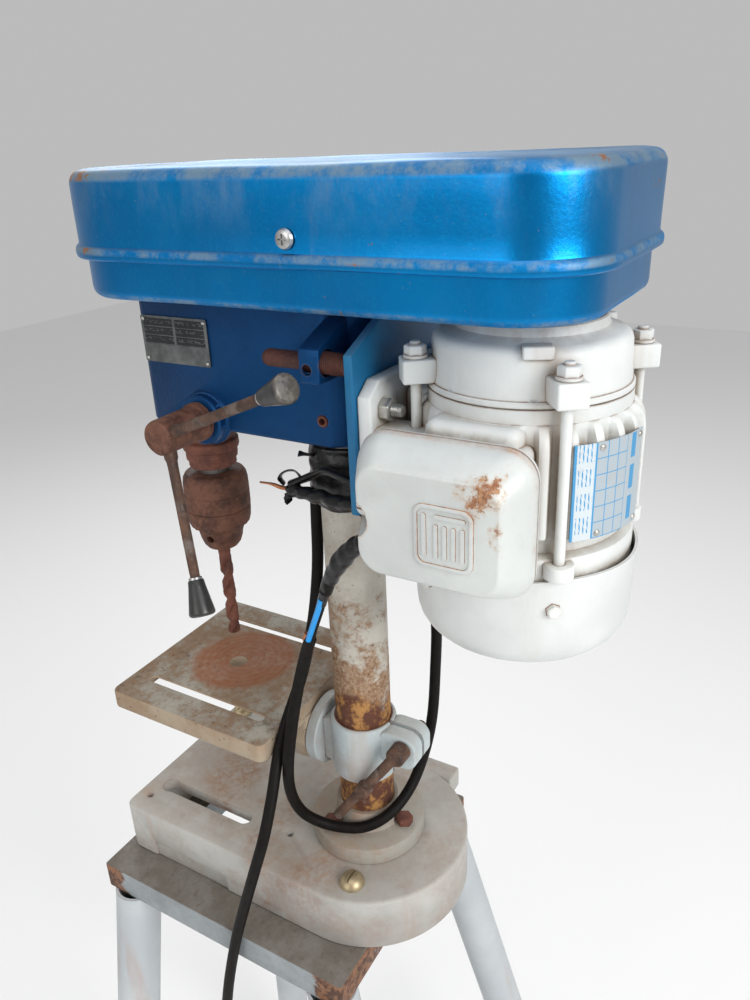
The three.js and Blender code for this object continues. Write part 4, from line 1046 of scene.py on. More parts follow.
# ---------------------------------------------------------------- head, feed and spindle
def head():
    """The head casting, its lock screw, spring cap and data plate."""
    halfx, front, low, high = 35, -157.5, 418, 519
    plan = [(-halfx + 9, front), (halfx - 9, front), (halfx - 3, front + 2.5), (halfx, front + 9),
            (halfx, 8), (27, 22),
            (15, 31), (-15, 31), (-27, 22), (-halfx, 8), (-halfx, front + 9), (-halfx + 3, front + 2.5)]
    body = prism("head_casting_body", plan, low, high, bevel=2.6, segments=4)
    nose = lathe("nose", [(0, low - 6), (25, low - 6), (26, low - 5), (26, low + 2), (0, low + 2)],
                 (0, SPINDLE_Y, 0), "z", 72)
    extra = [nose]
    for sx in (-1, 1):
        outline = [(476, sx * 31), (472, sx * 40), (472, sx * 67), (494, sx * 67), (503, sx * 45),
                   (508, sx * 31)]
        extra.append(prism("lock", outline, 9.5, 24.5, axis="y", bevel=1.6))
    extra.append(lathe("boss", [(0, 33), (18.5, 33), (18.5, 42.6), (17.3, 44), (0, 44)], (0, *HUB), "x", 72))
    extra.append(lathe("boss_foot", [(0, 33), (21, 33), (20.7, 35.2), (19.4, 36.9), (18, 37.4), (0, 37.4)],
                       (0, *HUB), "x", 72))
    body = join(body, *extra)
    bores = [
        bore(23.3, 7.5, low - 5, 504.3),
        bore(20.3, 7.5, low - 9, high - 14, centre=(0, SPINDLE_Y, 0)),
        bore(11, 10, high - 18, high + 3, centre=(0, SPINDLE_Y, 0)),
        bore(11.7, 10, -15, 50, axis="x", centre=(0, *HUB)),
        bore(8.3, 10, -40, 0, axis="x", centre=(0, *HUB)),
        prism("c", rounded(-27, 27, -77, -33, 5), low - 4, high - 10),
        bore(4.3, 15, 22, 40, axis="x", centre=(0, 3, 437)),
    ]
    for sx in (-1, 1):
        bores.append(bore(8.8, 10, 5, 29, axis="y", centre=(sx * SLIDE_ROD_X, 0, SLIDE_ROD_Z)))
        bores.append(bore(3.6, 15, min(sx * 55, sx * 70), max(sx * 55, sx * 70),
                           axis="x", centre=(0, 15.5, 481)))
    body = cut(body, *bores)
    finish(body, "head_blue", "press", "head_casting")
    grub = lathe("head_lock_screw_body", [(2.4, 26), (4, 26), (4, 35.4), (3.4, 36), (2.4, 36), (2.3, 32)],
                 (0, 3, 437), "x", 28)
    finish(grub, "rust_red", "press", "head_lock_screw")
    cap = lathe("spring_cap_shell",
                [(0, -55.3), (18, -55.3), (21, -54.6), (23.2, -52.6), (24, -50), (24, -35.3), (8.6, -35.3),
                 (8.6, -51), (0, -51)],
                (0, *HUB), "x", 72)
    finish(cap, "head_blue", "press", "return_spring_cap")
    plate = prism("data_plate_sheet", rounded(-151, -89, 465, 499, 1.5), 35.3, 36.1, axis="x", bevel=0.25,
                  segments=2)
    finish(plate, "data_plate", "press", "data_plate")
    for number, (y, z) in enumerate(((-148.4, 496.4), (-91.6, 496.4), (-148.4, 467.6), (-91.6, 467.6)), 1):
        rivet = lathe("plate_rivet_%d" % number, [(0, 35.6), (1.4, 35.6), (1.4, 36.3), (1.0, 36.8),
                                                  (0.4, 37), (0, 37)],
                      (0, y, z), "x", 20)
        finish(rivet, "zinc", "press")


def feed():
    """The feed hub and its two levers with knobs."""
    hub = lathe("feed_hub_bar",
                [(0, -50), (8, -50), (8, -14.5), (11.4, -14.5), (11.4, 44.3), (13.6, 44.3), (14.3, 45),
                 (14.3, 49.4), (13.4, 50.6),
                 (12.9, 52), (12.7, 84.8), (12.3, 86.6), (11.2, 87.7), (0, 88)], (0, *HUB), "x", 64)
    finish(dented(hub, 0.3, 130), "rust_brown", "feed", "feed_hub")
    root = Vector((78, *HUB))
    for number, end in LEVER_ENDS.items():
        tip = Vector(end)
        way = (tip - root).normalized()
        length = (tip - root).length
        start = root + way * 12.2
        stop = root + way * (length - 25.8)
        bar = rod("feed_lever_%d_bar" % number, start, stop, 3.6,
                  profile=[(0, 4.8), (0.05, 4.7), (0.07, 3.9), (0.12, 3.65), (0.93, 3.5), (0.96, 3.4),
                           (1.0, 3.4)], sides=32)
        finish(bar, "rust_lever", "feed", "feed_lever_%d" % number)
        knob = rod("knob_%d_grip" % number, root + way * (length - 25.5), tip, 9,
                   profile=[(0.0, 4.4), (0.005, 5.1), (0.03, 5.5), (0.2, 6.1), (0.45, 7.2), (0.7, 8.3),
                            (0.86, 9.05), (0.915, 9.2),
                            (0.95, 8.95), (0.975, 8.2), (0.993, 7.2), (1.0, 6.0)], sides=56, angle=50)
        finish(knob, "knob_worn_%d" % number, "feed", "knob_%d" % number)
        ferrule = rod("knob_%d_ferrule" % number, root + way * (length - 27.6), root + way * (length - 25.1),
                      4.6, profile=[(0, 3.7), (0.2, 4.6), (0.8, 4.8), (1.0, 4.2)], sides=36)
        finish(ferrule, "bare_steel", "feed")


def knob_finish(number, tip):
    """Black plastic rubbed through to grey on its end."""
    f = Finish("knob_worn_%d" % number)
    away = f.distance(tip)
    patch = f.noise(70, 5, 0.7)
    reach = 0.0105 if number == 1 else 0.0085
    near = f.span(f.plus(away, f.times(f.minus(patch, 0.5), 0.012)),
                  reach * 0.75, reach, 1.0, 0.0)
    black = f.mix(f.noise(40, 3), (0.012, 0.012, 0.012), (0.026, 0.025, 0.024))
    grey = f.mix(f.span(f.noise(160, 4, 0.7), 0.4, 0.6), (0.15, 0.135, 0.115), (0.07, 0.06, 0.05))
    colour = f.mix(f.times(near, 0.9), black, grey)
    return f.done(colour, f.span(patch, 0.3, 0.7, 0.28, 0.5), f.noise(420, 2), distance=0.0002, strength=0.3)


def plate_finish():
    """Grey metal plate with a dark printed table: rows of generic light dashes, no lettering."""
    f = Finish("data_plate", metallic=0.35)
    y, z = f.part("Y"), f.part("Z")
    rows_from, row_pitch = 1.2325, 0.0062
    row = f.math("MODULO", f.minus(z, rows_from), row_pitch)
    line = f.span(row, 0.0003, 0.0006, 0.0, 1.0)
    band = f.times(f.above(z, 1.2385), f.below(z, 1.2575))
    side = f.times(f.above(y, -0.1085), f.below(y, -0.0515))
    middle = f.above(f.away_from(y, -0.0795), 0.0011)
    dark = f.times(f.times(band, side), f.times(line, middle))
    dash = f.above(f.noise(900, 1, 0.3, stretch=(1, 0.45, 1)), 0.56)
    text = f.times(dash, f.above(row, 0.0026))
    text = f.times(text, f.below(row, 0.0048))
    metal = f.mix(f.span(f.noise(50, 5, 0.7), 0.35, 0.65), (0.15, 0.16, 0.155), (0.07, 0.075, 0.075))
    ink = f.mix(f.times(text, 0.5), (0.01, 0.011, 0.013), (0.13, 0.135, 0.135))
    colour = f.mix(f.times(dark, 0.93), metal, ink)
    colour = f.mix(f.span(f.noise(90, 6, 0.75, shift=2), 0.6, 0.72, 0.0, 0.7), colour, (0.2, 0.14, 0.09))
    return f.done(colour, 0.5, f.noise(600, 2), distance=0.0001, strength=0.3)


for number, end in LEVER_ENDS.items():
    FINISHES["knob_worn_%d" % number] = knob_finish(number, end)
FINISHES["data_plate"] = plate_finish()


def spindle():
    """The quill, the chuck and the drill."""
    here = (0, SPINDLE_Y, 0)
    quill = lathe("quill_tube",
                  [(8.3, 374), (18.4, 374), (19, 374.6), (19, 379.6), (20.5, 380.4), (20.8, 384),
                   (20.5, 387.4), (22.1, 388.4),
                   (22.5, 390), (22.4, 395.2), (21, 396.6), (20, 397), (20, 500), (8.3, 500)], here, "z", 72)
    finish(dented(quill, 0.2, 160), "rust_red", "quill", "quill")

    body = lathe("chuck_body_shell",
                 [(8.3, 337), (25.9, 337), (26.5, 337.6), (26.6, 338.4), (26.6, 349.8), (26.3, 350.4),
                  (26.05, 350.9), (26.4, 351.5), (26.6, 352.4), (26.4, 360), (25.6, 364.2), (24.0, 366.9),
                  (22.4, 368), (8.3, 368)], here, "z", 90)
    finish(body, "rust_brown", "spindle", "chuck_body")

    def teeth(a, r, h):
        return -0.8 if 319 < h < 323 and (a % 12.0) < 5.0 else 0.0

    sleeve = lathe("chuck_nose",
                   [(5.5, 299), (9.3, 299), (10.2, 299.6), (12.9, 300.8), (15.4, 304), (17.5, 310),
                    (18.7, 316), (19.2, 318.2), (20.1, 319.6), (23.8, 321.6), (24.7, 322.9), (25.6, 326),
                    (26.2, 332), (26.3, 336), (25.9, 336.7), (5.5, 336.7)],
                   here, "z", 120, ripple=teeth)
    holes = []
    for degrees in (8, 128, 248):
        u, v = ring(1, degrees)
        holes.append(rod("c", (u * 12, SPINDLE_Y + v * 12, 312.4), (u * 30, SPINDLE_Y + v * 30, 312.4), 3.3))
    sleeve = cut(sleeve, *holes)
    finish(sleeve, "rust_brown", "chuck_sleeve", "chuck_sleeve")
    drill()
    repaint("spindle", "bare_steel")


def drill():
    """A twist drill: a round section with two flutes, turned as it goes up to its plain shank."""
    r, tip, flute_top, top = 5.2, 211.3, 285.0, 334.0
    rings = []
    steps = 90
    for i in range(steps + 1):
        z = tip + (flute_top + 8 - tip) * i / steps
        rise = z - tip
        point = min(1.0, rise / 3.4)
        deep = 0.5 * min(1.0, max(0.0, (flute_top + 8 - z) / 12))
        row = []
        for k in range(36):
            a = 10.0 * k
            swirl = a - z * 360.0 / 46.0
            scoop = max(0.0, math.cos(math.radians(2 * swirl))) ** 0.8
            land = 0.05 * (1 if math.cos(math.radians(2 * swirl + 100)) > 0.7 else 0)
            rr = r * (1 - deep * scoop + land) * max(0.06, point)
            u, v = ring(rr, a)
            row.append((u, SPINDLE_Y + v, z))
        rings.append(row)
    rings.append([(u, SPINDLE_Y + v, top) for u, v in circle(4.9, 10)])
    bit = skin("drill_twist", rings, angle=35)
    finish(dented(bit, 0.5, 220), "rust_red", "spindle", "drill_bit")


head()
feed()
spindle()


# ---------------------------------------------------------------- motor
def lug_places():
    """Where the motor's four tie rods stand."""
    return {name: (ring(LUG_R, a)[0], MOTOR_Y + ring(LUG_R, a)[1], 0) for name, a in LUG_AT.items()}


def turned_square(x0, x1, y0, y1, r, degrees):
    """A rounded rectangle turned about the motor's axis."""
    c, d = ring(1, degrees)
    return [(u * c - v * d, u * d + v * c) for u, v in rounded(x0, x1, y0, y1, r, 4)]


def slide():
    """The motor's plate, its two slide rods and its two bolts."""
    halfx, low, high = 65, 388, 507
    plate = prism("motor_plate_steel", [(low, -halfx), (low, halfx), (492, halfx), (high, 30), (high, -30),
                                        (492, -halfx)],
                  41, 47, axis="y", bevel=1.0)
    holes = [bore(4.4, 15, 38, 50, axis="y", centre=(sx * PLATE_BOLT_X, 0, PLATE_BOLT_Z)) for sx in (-1, 1)]
    finish(cut(plate, *holes), "plate_blue", "motor", "motor_plate")
    for hand, sx in (("left", -1), ("right", 1)):
        threads = []
        h = 8.0
        while h < 39.5:
            threads += [(6.2, h), (7.1, h + 0.75)]
            h += 1.5
        profile = [(0, -23), (2.8, -23), (4.4, -22.2), (5.4, -20.6), (5.7, -18.6), (5.7, 6), *threads,
                   (6.2, 40.7), (0, 40.7)]
        bar = lathe("slide_rod_%s_bar" % hand, profile, (sx * SLIDE_ROD_X, 0, SLIDE_ROD_Z), "y", 48)
        finish(dented(bar, 0.3, 150), "rust_rod", "motor", "slide_rod_%s" % hand)
        here = (sx * PLATE_BOLT_X, 0, PLATE_BOLT_Z)
        nut = hex_head("plate_bolt_%s_nut" % hand, 13, 57.3, 64.3, "y", here)
        stud = [(0, 40)]
        h = 40.0
        while h < 70:
            stud += [(3.6, h), (4.0, h + 0.6)]
            h += 1.2
        stud += [(3.2, 71.3), (0, 71.3)]
        threaded = lathe("stud", stud, here, "y", 32)
        head_hex = hex_head("hex", 13, 35.7, 40.7, "y", here)
        finish(join(nut, threaded, head_hex), "zinc", "motor", "plate_bolt_%s" % hand)


def fin_outline():
    """The frame's section: rounded ribs all round, with a smooth stretch behind the terminal box."""
    points = []
    fins = 26
    for i in range(fins * 12):
        a = 360.0 * i / (fins * 12)
        wave = math.cos(math.radians(a * fins))
        rib = 1 / (1 + math.exp(-5.0 * (wave - 0.12)))
        smooth_side = a > 315 or a < 12
        r = 63.6 + (7.2 * rib if not smooth_side else 2.2)
        points.append(ring(r, a))
    return points


def motor_frame():
    """The finned frame with its foot, the terminal box's seat and the feet of the tie rods."""
    here = (0, MOTOR_Y, 0)
    levels = [(392, 0.93), (393.5, 0.97), (396, 1.0), (446, 1.0), (451, 0.992), (455, 0.975), (458, 0.953),
              (460.4, 0.926), (461.4, 0.905)]
    section = fin_outline()
    rows = []
    for z, share in levels:
        row = []
        for u, v in section:
            r = math.hypot(u, v)
            keep = min(r, 62.3 + (r - 62.3) * (share - 0.9) / 0.1) if share < 1 else r
            row.append((u * keep / r, MOTOR_Y + v * keep / r, z))
        rows.append(row)
    body = skin("motor_frame_casting", rows, angle=40)
    core = lathe("core",
                 [(0, 352), (29, 352), (30.6, 353), (33.4, 358.8), (35, 360), (66.6, 360), (68, 361),
                  (68.4, 362.4), (68.4, 379), (67.4, 381), (65, 382.2), (62.3, 383), (62.3, 470), (0, 470)],
                 here, "z", 96)
    foot = prism("foot", [(390, -62), (390, 62), (466, 62), (475, 50), (475, -50), (466, -62)], 47.3, 57,
                 axis="y", bevel=1.6)
    web = block("web", -17, 17, 56, MOTOR_Y - 50, 392, 462, bevel=4)
    pad = prism("pad", rounded(56, 78, MOTOR_Y - 44, MOTOR_Y + 27, 7), 390, 451, bevel=5.0, segments=4)
    shoulder = prism("shoulder", rounded(44, 72, MOTOR_Y - 38, MOTOR_Y + 21, 8), 440, 461, bevel=6.0,
                     segments=4)
    arm = prism("arm", rounded(30, 60, 50, 92, 8), 400, 446, bevel=5.0)
    extra = [core, foot, web, pad, shoulder, arm]
    for place in lug_places().values():
        extra.append(prism("lug", circle(9, 10), FOOT_LOW, FOOT_LOW + 9, centre=place, bevel=1.0))
    body = join(body, *extra)
    bores = [bore(40.6, 7.5, 388, 476, centre=here),
             bore(9.4, 10, 349, 390, centre=here)]
    for sx in (-1, 1):
        bores.append(bore(4.4, 15, 40, 62, axis="y", centre=(sx * PLATE_BOLT_X, 0, PLATE_BOLT_Z)))
    for place in lug_places().values():
        bores.append(bore(3.7, 15, FOOT_LOW + 4, 480, centre=place))
    body = cut(body, *bores)
    finish(body, "motor_white", "motor", "motor_frame")


def top_shield():
    """The motor's upper end shield, with the tie rods."""
    here = (0, MOTOR_Y, 0)
    low = 470.3
    lug_low, lug_top = 474.5, 489
    body = lathe("motor_top_shield_casting",
                 [(0, low), (59.6, low), (60.5, low + 0.8), (60.5, 477), (59.8, 481), (59.4, 497),
                  (58.6, 500),
                  (56.8, 502.2), (53.4, 503.4), (47.6, 505.2), (46, 506.4), (44.6, 511.2), (43.6, 512),
                  (0, 512)], here, "z", 96)
    band = lathe("band", [(53, 470.4), (61.6, 470.4), (62.3, 471), (62.3, 473.2), (61.5, 474.2), (53, 475)],
                 here, "z", 96)
    parts = [band]
    for degrees in LUG_AT.values():
        u, v = ring(LUG_R, degrees)
        parts.append(prism("lug", turned_square(-13, 9, -9, 9, 1.6, degrees), lug_low, lug_top,
                           centre=(u, MOTOR_Y + v, 0), bevel=1.3))
    for degrees in (24, 150):
        u, v = ring(56.6, degrees)
        parts.append(prism("tab", turned_square(-5.4, 5.6, -8.5, 8.5, 1.4, degrees), 497.6, 505,
                           centre=(u, MOTOR_Y + v, 0), bevel=1.3))
    body = join(body, *parts)
    bores = [bore(9.4, 10, low - 3, 515, centre=here)]
    bores += [bore(3.7, 15, low - 3, 492, centre=place) for place in lug_places().values()]
    finish(cut(body, *bores), "motor_white", "motor", "motor_top_shield")
    for corner, centre in lug_places().items():
        bar = lathe("rod", [(0, FOOT_LOW + 4.5), (3.3, FOOT_LOW + 4.5), (3.3, 498.3), (2.6, 499), (0, 499)],
                    centre, "z", 28)
        nut = hex_head("tie_rod_%s_bar" % corner, 12, 491.2, 497, "z", centre)
        washer = lathe("washer", [(0, 489.3), (7.4, 489.3), (7.4, 490.9), (6.8, 491.3), (0, 491.3)], centre,
                       "z", 36)
        finish(join(nut, bar, washer), "motor_white", "motor", "tie_rod_%s" % corner)


def cowl():
    """The fan cowl with its vents and screws."""
    here = (0, MOTOR_Y, 0)
    r = 71
    outer = [(r, 366), (r, 326), (r - 0.5, 321), (r - 1.9, 316), (r - 4.4, 311.4), (r - 8.2, 307.4),
             (r - 13.4, 304.2), (50, 301.4), (40, 299.6), (28, 298.4), (0, 298)]
    inner = [(max(0, a - 1.5), h + (1.5 if i > 5 else 0.6)) for i, (a, h) in enumerate(outer)]
    inner[0] = (r - 1.5, 366)
    shell = lathe("fan_cowl_shell",
                  [(0, 298)] + [p for p in reversed(outer[:-1])] + inner[:-1] + [(0, 299.5)], here, "z", 120)
    slots = []
    for radius, count in ((14, 6), (25, 10), (36, 14), (47, 18)):
        for i in range(count):
            u, v = ring(radius, 360.0 * i / count)
            slots.append(prism("vent", circle(3.3, 30), 292, 306, centre=(u, MOTOR_Y + v, 0)))
    shell = cut(shell, *slots)
    # The rim sits a little crooked: higher at the back, and sprung out on the rear right.
    rim_from, rim_tall = 1.095, 0.031
    lean, reach = 0.07, 0.07
    sprung_at, sprung_wide, sprung_by = 72, 26.0, 0.0035
    middle = at(*here)
    for v in shell.data.vertices:
        x, y = v.co.x - middle.x, v.co.y - middle.y
        rise = min(1.0, max(0.0, (v.co.z - rim_from) / rim_tall))
        away = math.degrees(math.atan2(y, x)) - sprung_at
        spring = sprung_by * rise * rise * math.exp(-(away / sprung_wide) ** 2)
        v.co.z += lean * y * rise
        v.co.x += spring * x / reach
        v.co.y += spring * y / reach
    finish(shell, "cowl_white", "motor", "fan_cowl")
    for number, degrees in enumerate((35, 145, 215, 325), 1):
        u, v = ring(1.0, degrees)
        start = (u * 70.6, MOTOR_Y + v * 70.6, 349.4)
        stop = (u * 75.4, MOTOR_Y + v * 75.4, 349.4)
        screw = rod("cowl_screw_%d" % number, start, stop, 4.4, sides=6, angle=20,
                    profile=[(0, 5.0), (0.16, 5.0), (0.17, 4.4), (0.85, 4.4), (1.0, 3.7)])
        finish(screw, "motor_white", "motor", slot="zinc_steel")


def level(x, y0, y1, z0, z1, r, steps=14):
    """A rounded rectangle across X, at one x."""
    return [(x, y, z) for y, z in rounded(y0, y1, z0, z1, r, steps)]


def terminal():
    """The terminal box, its lid and the lid's screw."""
    body = skin("terminal_box_tray",
                [level(78.5, 79.5, 162, 380, 450, 12), level(81, 73.5, 168, 376.6, 454.8, 14.4),
                                      level(84, 69.5, 172, 374, 458, 16), level(87, 68.1, 173.4, 372.6,
                                                                                459.4, 17.4),
                                      level(90, 67.5, 174, 372, 460, 18)], angle=50)
    room = skin("c", [level(83, 77.5, 164, 382, 450, 10), level(92, 75.5, 166, 380, 452, 12)])
    neck = rod("neck", gland_point(-6), gland_point(5.6), 6, sides=40,
               profile=[(0, 7.0), (0.9, 7.0), (0.96, 6.6), (1.0, 6.0)])
    hole = rod("c", gland_point(-12), gland_point(9), 4.9)
    body = cut(join(body, neck), room, hole)
    finish(body, "motor_white", "motor", "terminal_box")

    def lid_level(x, share):
        """From the rim's outline at share 0 to the flat face's at share 1."""
        return level(x, 67.5 + 10.5 * share, 174 - 11 * share, 372 + 11 * share, 460 - 13 * share,
                     18 - 4 * share)

    slope = [(90.3, 0.03), (90.9, 0.0), (93.0, 0.0), (93.8, 0.02), (94.6, 0.055), (98, 0.13), (101, 0.25),
             (104, 0.385), (107, 0.53),
             (109.6, 0.65), (112, 0.76), (113.8, 0.85), (115.1, 0.92), (115.9, 0.97), (116.3, 1.02), (116.5,
                                                                                                      1.1)]
    levels = [lid_level(x, share) for x, share in slope]
    lid = skin("terminal_cover_lid", levels, angle=60)
    inside = skin("c", [level(89, 70.5, 171, 375, 457, 15), level(94, 71.5, 170, 376, 456, 15),
                        level(103, 76.5, 165, 381, 450, 13), level(112, 89, 152, 393, 437, 11)])
    notch = lathe("c", [(0, 95), (7.4, 95), (9.2, 98.5), (10.6, 106), (12.4, 122), (0, 122)],
                  (0, *COVER_SCREW), "x", 48)
    lid = cut(lid, inside, notch)
    # A raised frame with a plain generic mark: one bar across and four down.
    rim = cut(prism("rim", rounded(114, 149, 395, 432, 6, 8), 114, 117.5, axis="x", bevel=0.5, segments=2),
              prism("c", rounded(116.2, 146.8, 397.2, 429.8, 4.6, 8), 110, 122, axis="x"))
    bars = [rim]
    bars.append(prism("bar", rounded(126, 144.4, 424.3, 426.7, 1.1, 4), 114, 117.3, axis="x"))
    bars += [prism("bar", rounded(y - 1.15, y + 1.15, 401, 421, 1.1, 4), 114, 117.3,
                   axis="x") for y in (127.2, 132.4, 137.6, 142.8)]
    bars.append(prism("bar", rounded(118.8, 121.4, 401, 426.5, 1.2, 4), 114, 117.3, axis="x"))
    lid = join(lid, *bars)
    finish(lid, "cover_white", "motor", "terminal_cover")
    screw = lathe("terminal_cover_screw", [(0, 95), (2.2, 95), (2.2, 98.6), (5.2, 98.6), (5.4, 99.4),
                                           (4.9, 101.4), (3.4, 102.6), (0, 103)],
                  (0, *COVER_SCREW), "x", 40)
    y, z = COVER_SCREW
    groove = block("c", 101.2, 106, y - 7.5, y + 7.5, z - 0.8, z + 0.8)
    finish(cut(screw, groove), "motor_white", "motor", slot="zinc_steel")
    # The screw sits a little deeper in its notch.
    for v in bpy.data.objects["terminal_cover_screw"].data.vertices:
        v.co.x -= 0.0012


def name_plate():
    """The curved plate on the motor's frame and its rivets."""
    rows = []
    for z in (PLATE_LOW, PLATE_LOW + 1, 423, 451, 452):
        inner = [ring(71.3, PLATE_FROM + 43.2 * i / 40) for i in range(41)]
        outer = [ring(72.2, PLATE_FROM + 43.2 * (40 - i) / 40) for i in range(41)]
        rows.append([(u, MOTOR_Y + v, z) for u, v in outer + inner])
    plate = skin("motor_nameplate_sheet", rows, angle=40)
    finish(plate, "name_plate", "motor", "motor_nameplate")
    for number, (degrees, z) in enumerate(((54.5, 449), (81, 449), (54.5, 397), (81, 397)), 1):
        u, v = ring(1.0, degrees)
        rivet = rod("nameplate_rivet_%d" % number, (u * 71.8, MOTOR_Y + v * 71.8, z),
                    (u * 73.4, MOTOR_Y + v * 73.4, z), 1.8, sides=20,
                    profile=[(0, 2.0), (0.5, 1.9), (0.85, 1.3), (1.0, 0.6)])
        finish(rivet, "zinc", "motor")


def name_plate_finish():
    """White plate printed in blue: a filled header strip, ruled boxes and rows of generic dashes."""
    f = Finish("name_plate", metallic=0.15)
    x = f.part("X")
    y = f.minus(f.part("Y"), (MOTOR_Y + COLUMN_BACK) / 1000)
    turn = f.math("ARCTAN2", y, x)
    z = f.minus(f.part("Z"), (PLATE_LOW + STAND_HEIGHT) / 1000)
    along = f.times(f.minus(turn, math.radians(PLATE_FROM)), 0.0722)
    rule_z = f.below(f.math("MODULO", z, 0.0097), 0.00055)
    rule_a = f.below(f.math("MODULO", f.minus(along, 0.0137), 0.0078), 0.0006)
    table = f.times(f.above(along, 0.0137), f.below(along, 0.0375))
    rules = f.times(f.most(rule_z, rule_a), table)
    edge_a = f.below(f.away_from(along, 0.0137), 0.0006)
    frame_left = f.below(along, 0.0016)
    text_a = f.times(f.below(along, 0.0126), f.above(along, 0.0028))
    row = f.math("MODULO", along, 0.0025)
    slanted = f.plus(z, f.times(along, 2.9))
    dash = f.above(f.math("MODULO", slanted, 0.0053), 0.0012)
    group = f.above(f.math("MODULO", z, 0.0145), 0.0042)
    text = f.times(f.times(text_a, dash), f.times(f.below(row, 0.0009), group))
    big = f.times(f.above(along, 0.0415), f.below(along, 0.0462))
    block_z = f.above(f.math("MODULO", z, 0.0193), 0.0045)
    big = f.times(big, block_z)
    ink = f.most(f.most(rules, edge_a), f.most(text, f.most(big, frame_left)))
    shade = f.mix(f.span(along, 0.0132, 0.0142), (0.6, 0.66, 0.69), (0.4, 0.46, 0.5))
    shade = f.mix(f.span(f.noise(60, 5, 0.7), 0.5, 0.72, 0.0, 0.5), shade, (0.42, 0.41, 0.38))
    colour = f.mix(f.times(ink, 0.92), shade, (0.02, 0.27, 0.55))
    return f.done(colour, 0.35, f.noise(300, 2), distance=0.0001, strength=0.3)


def cover_finish():
    """Off-white lid with brown rust where its upper right corner and edges have been knocked."""
    f = Finish("cover_white")
    broad, fine = f.noise(7, 5, 0.6), f.noise(90, 4, 0.7)
    colour = f.mix(f.span(broad, 0.35, 0.68), (0.5, 0.52, 0.51), (0.61, 0.64, 0.62))
    colour = f.mix(f.span(fine, 0.52, 0.75, 0.0, 0.25), colour, (0.44, 0.44, 0.41))
    near = f.span(f.distance((115, 151, 441)), 0.004, 0.026, 1.0, 0.0)
    side = f.times(f.span(f.away_from(f.part("Y"), 0.2), 0.002, 0.008, 1.0, 0.0),
                  f.span(f.part("Z"), 1.15, 1.18))
    near = f.most(near, f.times(side, 0.8))
    corner = f.edges(0.012)
    rim = f.edges(0.0035)
    ragged = f.noise(85, 7, 0.78, shift=5.0)
    z = f.span(f.part("Z"), 1.19, 1.21)
    amount = f.plus(f.times(near, 0.28), f.times(corner, f.plus(0.45, f.times(z, 0.6))))
    amount = f.plus(amount, f.times(rim, 0.5))
    chip = f.span(f.plus(amount, f.times(ragged, 0.85)), 0.69, 0.73)
    halo = f.span(f.plus(amount, f.times(ragged, 0.85)), 0.6, 0.72, 0.0, 0.6)
    rust = f.mix(f.span(f.noise(300, 3, 0.7), 0.35, 0.65), (0.22, 0.085, 0.04), (0.42, 0.22, 0.11))
    colour = f.mix(halo, colour, (0.5, 0.36, 0.24))
    colour = f.mix(chip, colour, rust)
    dots = f.span(f.noise(55, 6, 0.8, shift=11.0), 0.69, 0.71)
    colour = f.mix(dots, colour, (0.2, 0.1, 0.06))
    skin_height = f.minus(f.times(f.noise(260, 2), 0.7), f.times(chip, 0.6))
    return f.done(colour, f.plus(0.34, f.times(chip, 0.4)), skin_height)


FINISHES["plate_blue"] = worn_paint("plate_blue", (0.012, 0.17, 0.34), (0.008, 0.1, 0.24), dust=0.2,
                                    chips=0.25, edge=0.4,
                                    chip_colour=(0.25, 0.1, 0.06), under=(0.12, 0.33,
                                                                          0.45), edge_radius=0.003,
                                    roughness=0.42, pebble=0.5)
FINISHES["cowl_white"] = worn_paint("cowl_white", (0.7, 0.72, 0.71), (0.58, 0.6, 0.59), dust=0.12,
                                    chips=0.22, edge=0.1,
                                    chip_colour=(0.12, 0.06, 0.035), dust_colour=(0.5, 0.47,
                                                                                  0.41), edge_radius=0.0015,
                                    roughness=0.35, pebble=0.4, streak=0.08)
FINISHES["cover_white"] = cover_finish()
FINISHES["name_plate"] = name_plate_finish()
slide()
motor_frame()
top_shield()
cowl()
terminal()
name_plate()


# ---------------------------------------------------------------- belt guard
def guard_level(inset, z, steps=20):
    """The guard's outline from above, drawn in by an inset, at height z."""
    halfx, front, rear = 92.2 - inset, -173.7 + inset, 193.4 - inset
    rf, rb = 60 - inset, 49 - inset
    points = []
    for cx, cy, r, start in ((halfx - rf, front + rf, rf, -90), (halfx - rb, rear - rb, rb, 0),
                             (-halfx + rb, rear - rb, rb, 90), (-halfx + rf, front + rf, rf, 180)):
        arc = [ring(r, start + 90.0 * i / steps) for i in range(steps + 1)]
        points += [(cx + u, cy + v) for u, v in arc]
    # Extra points along the straight sides let the sheet wave a little.
    filled = []
    for (x0, y0), (x1, y1) in zip(points, points[1:] + points[:1]):
        gap = math.hypot(x1 - x0, y1 - y0)
        pieces = max(1, round(gap / 12))
        for k in range(pieces):
            filled.append((x0 + (x1 - x0) * k / pieces, y0 + (y1 - y0) * k / pieces, z))
    return filled


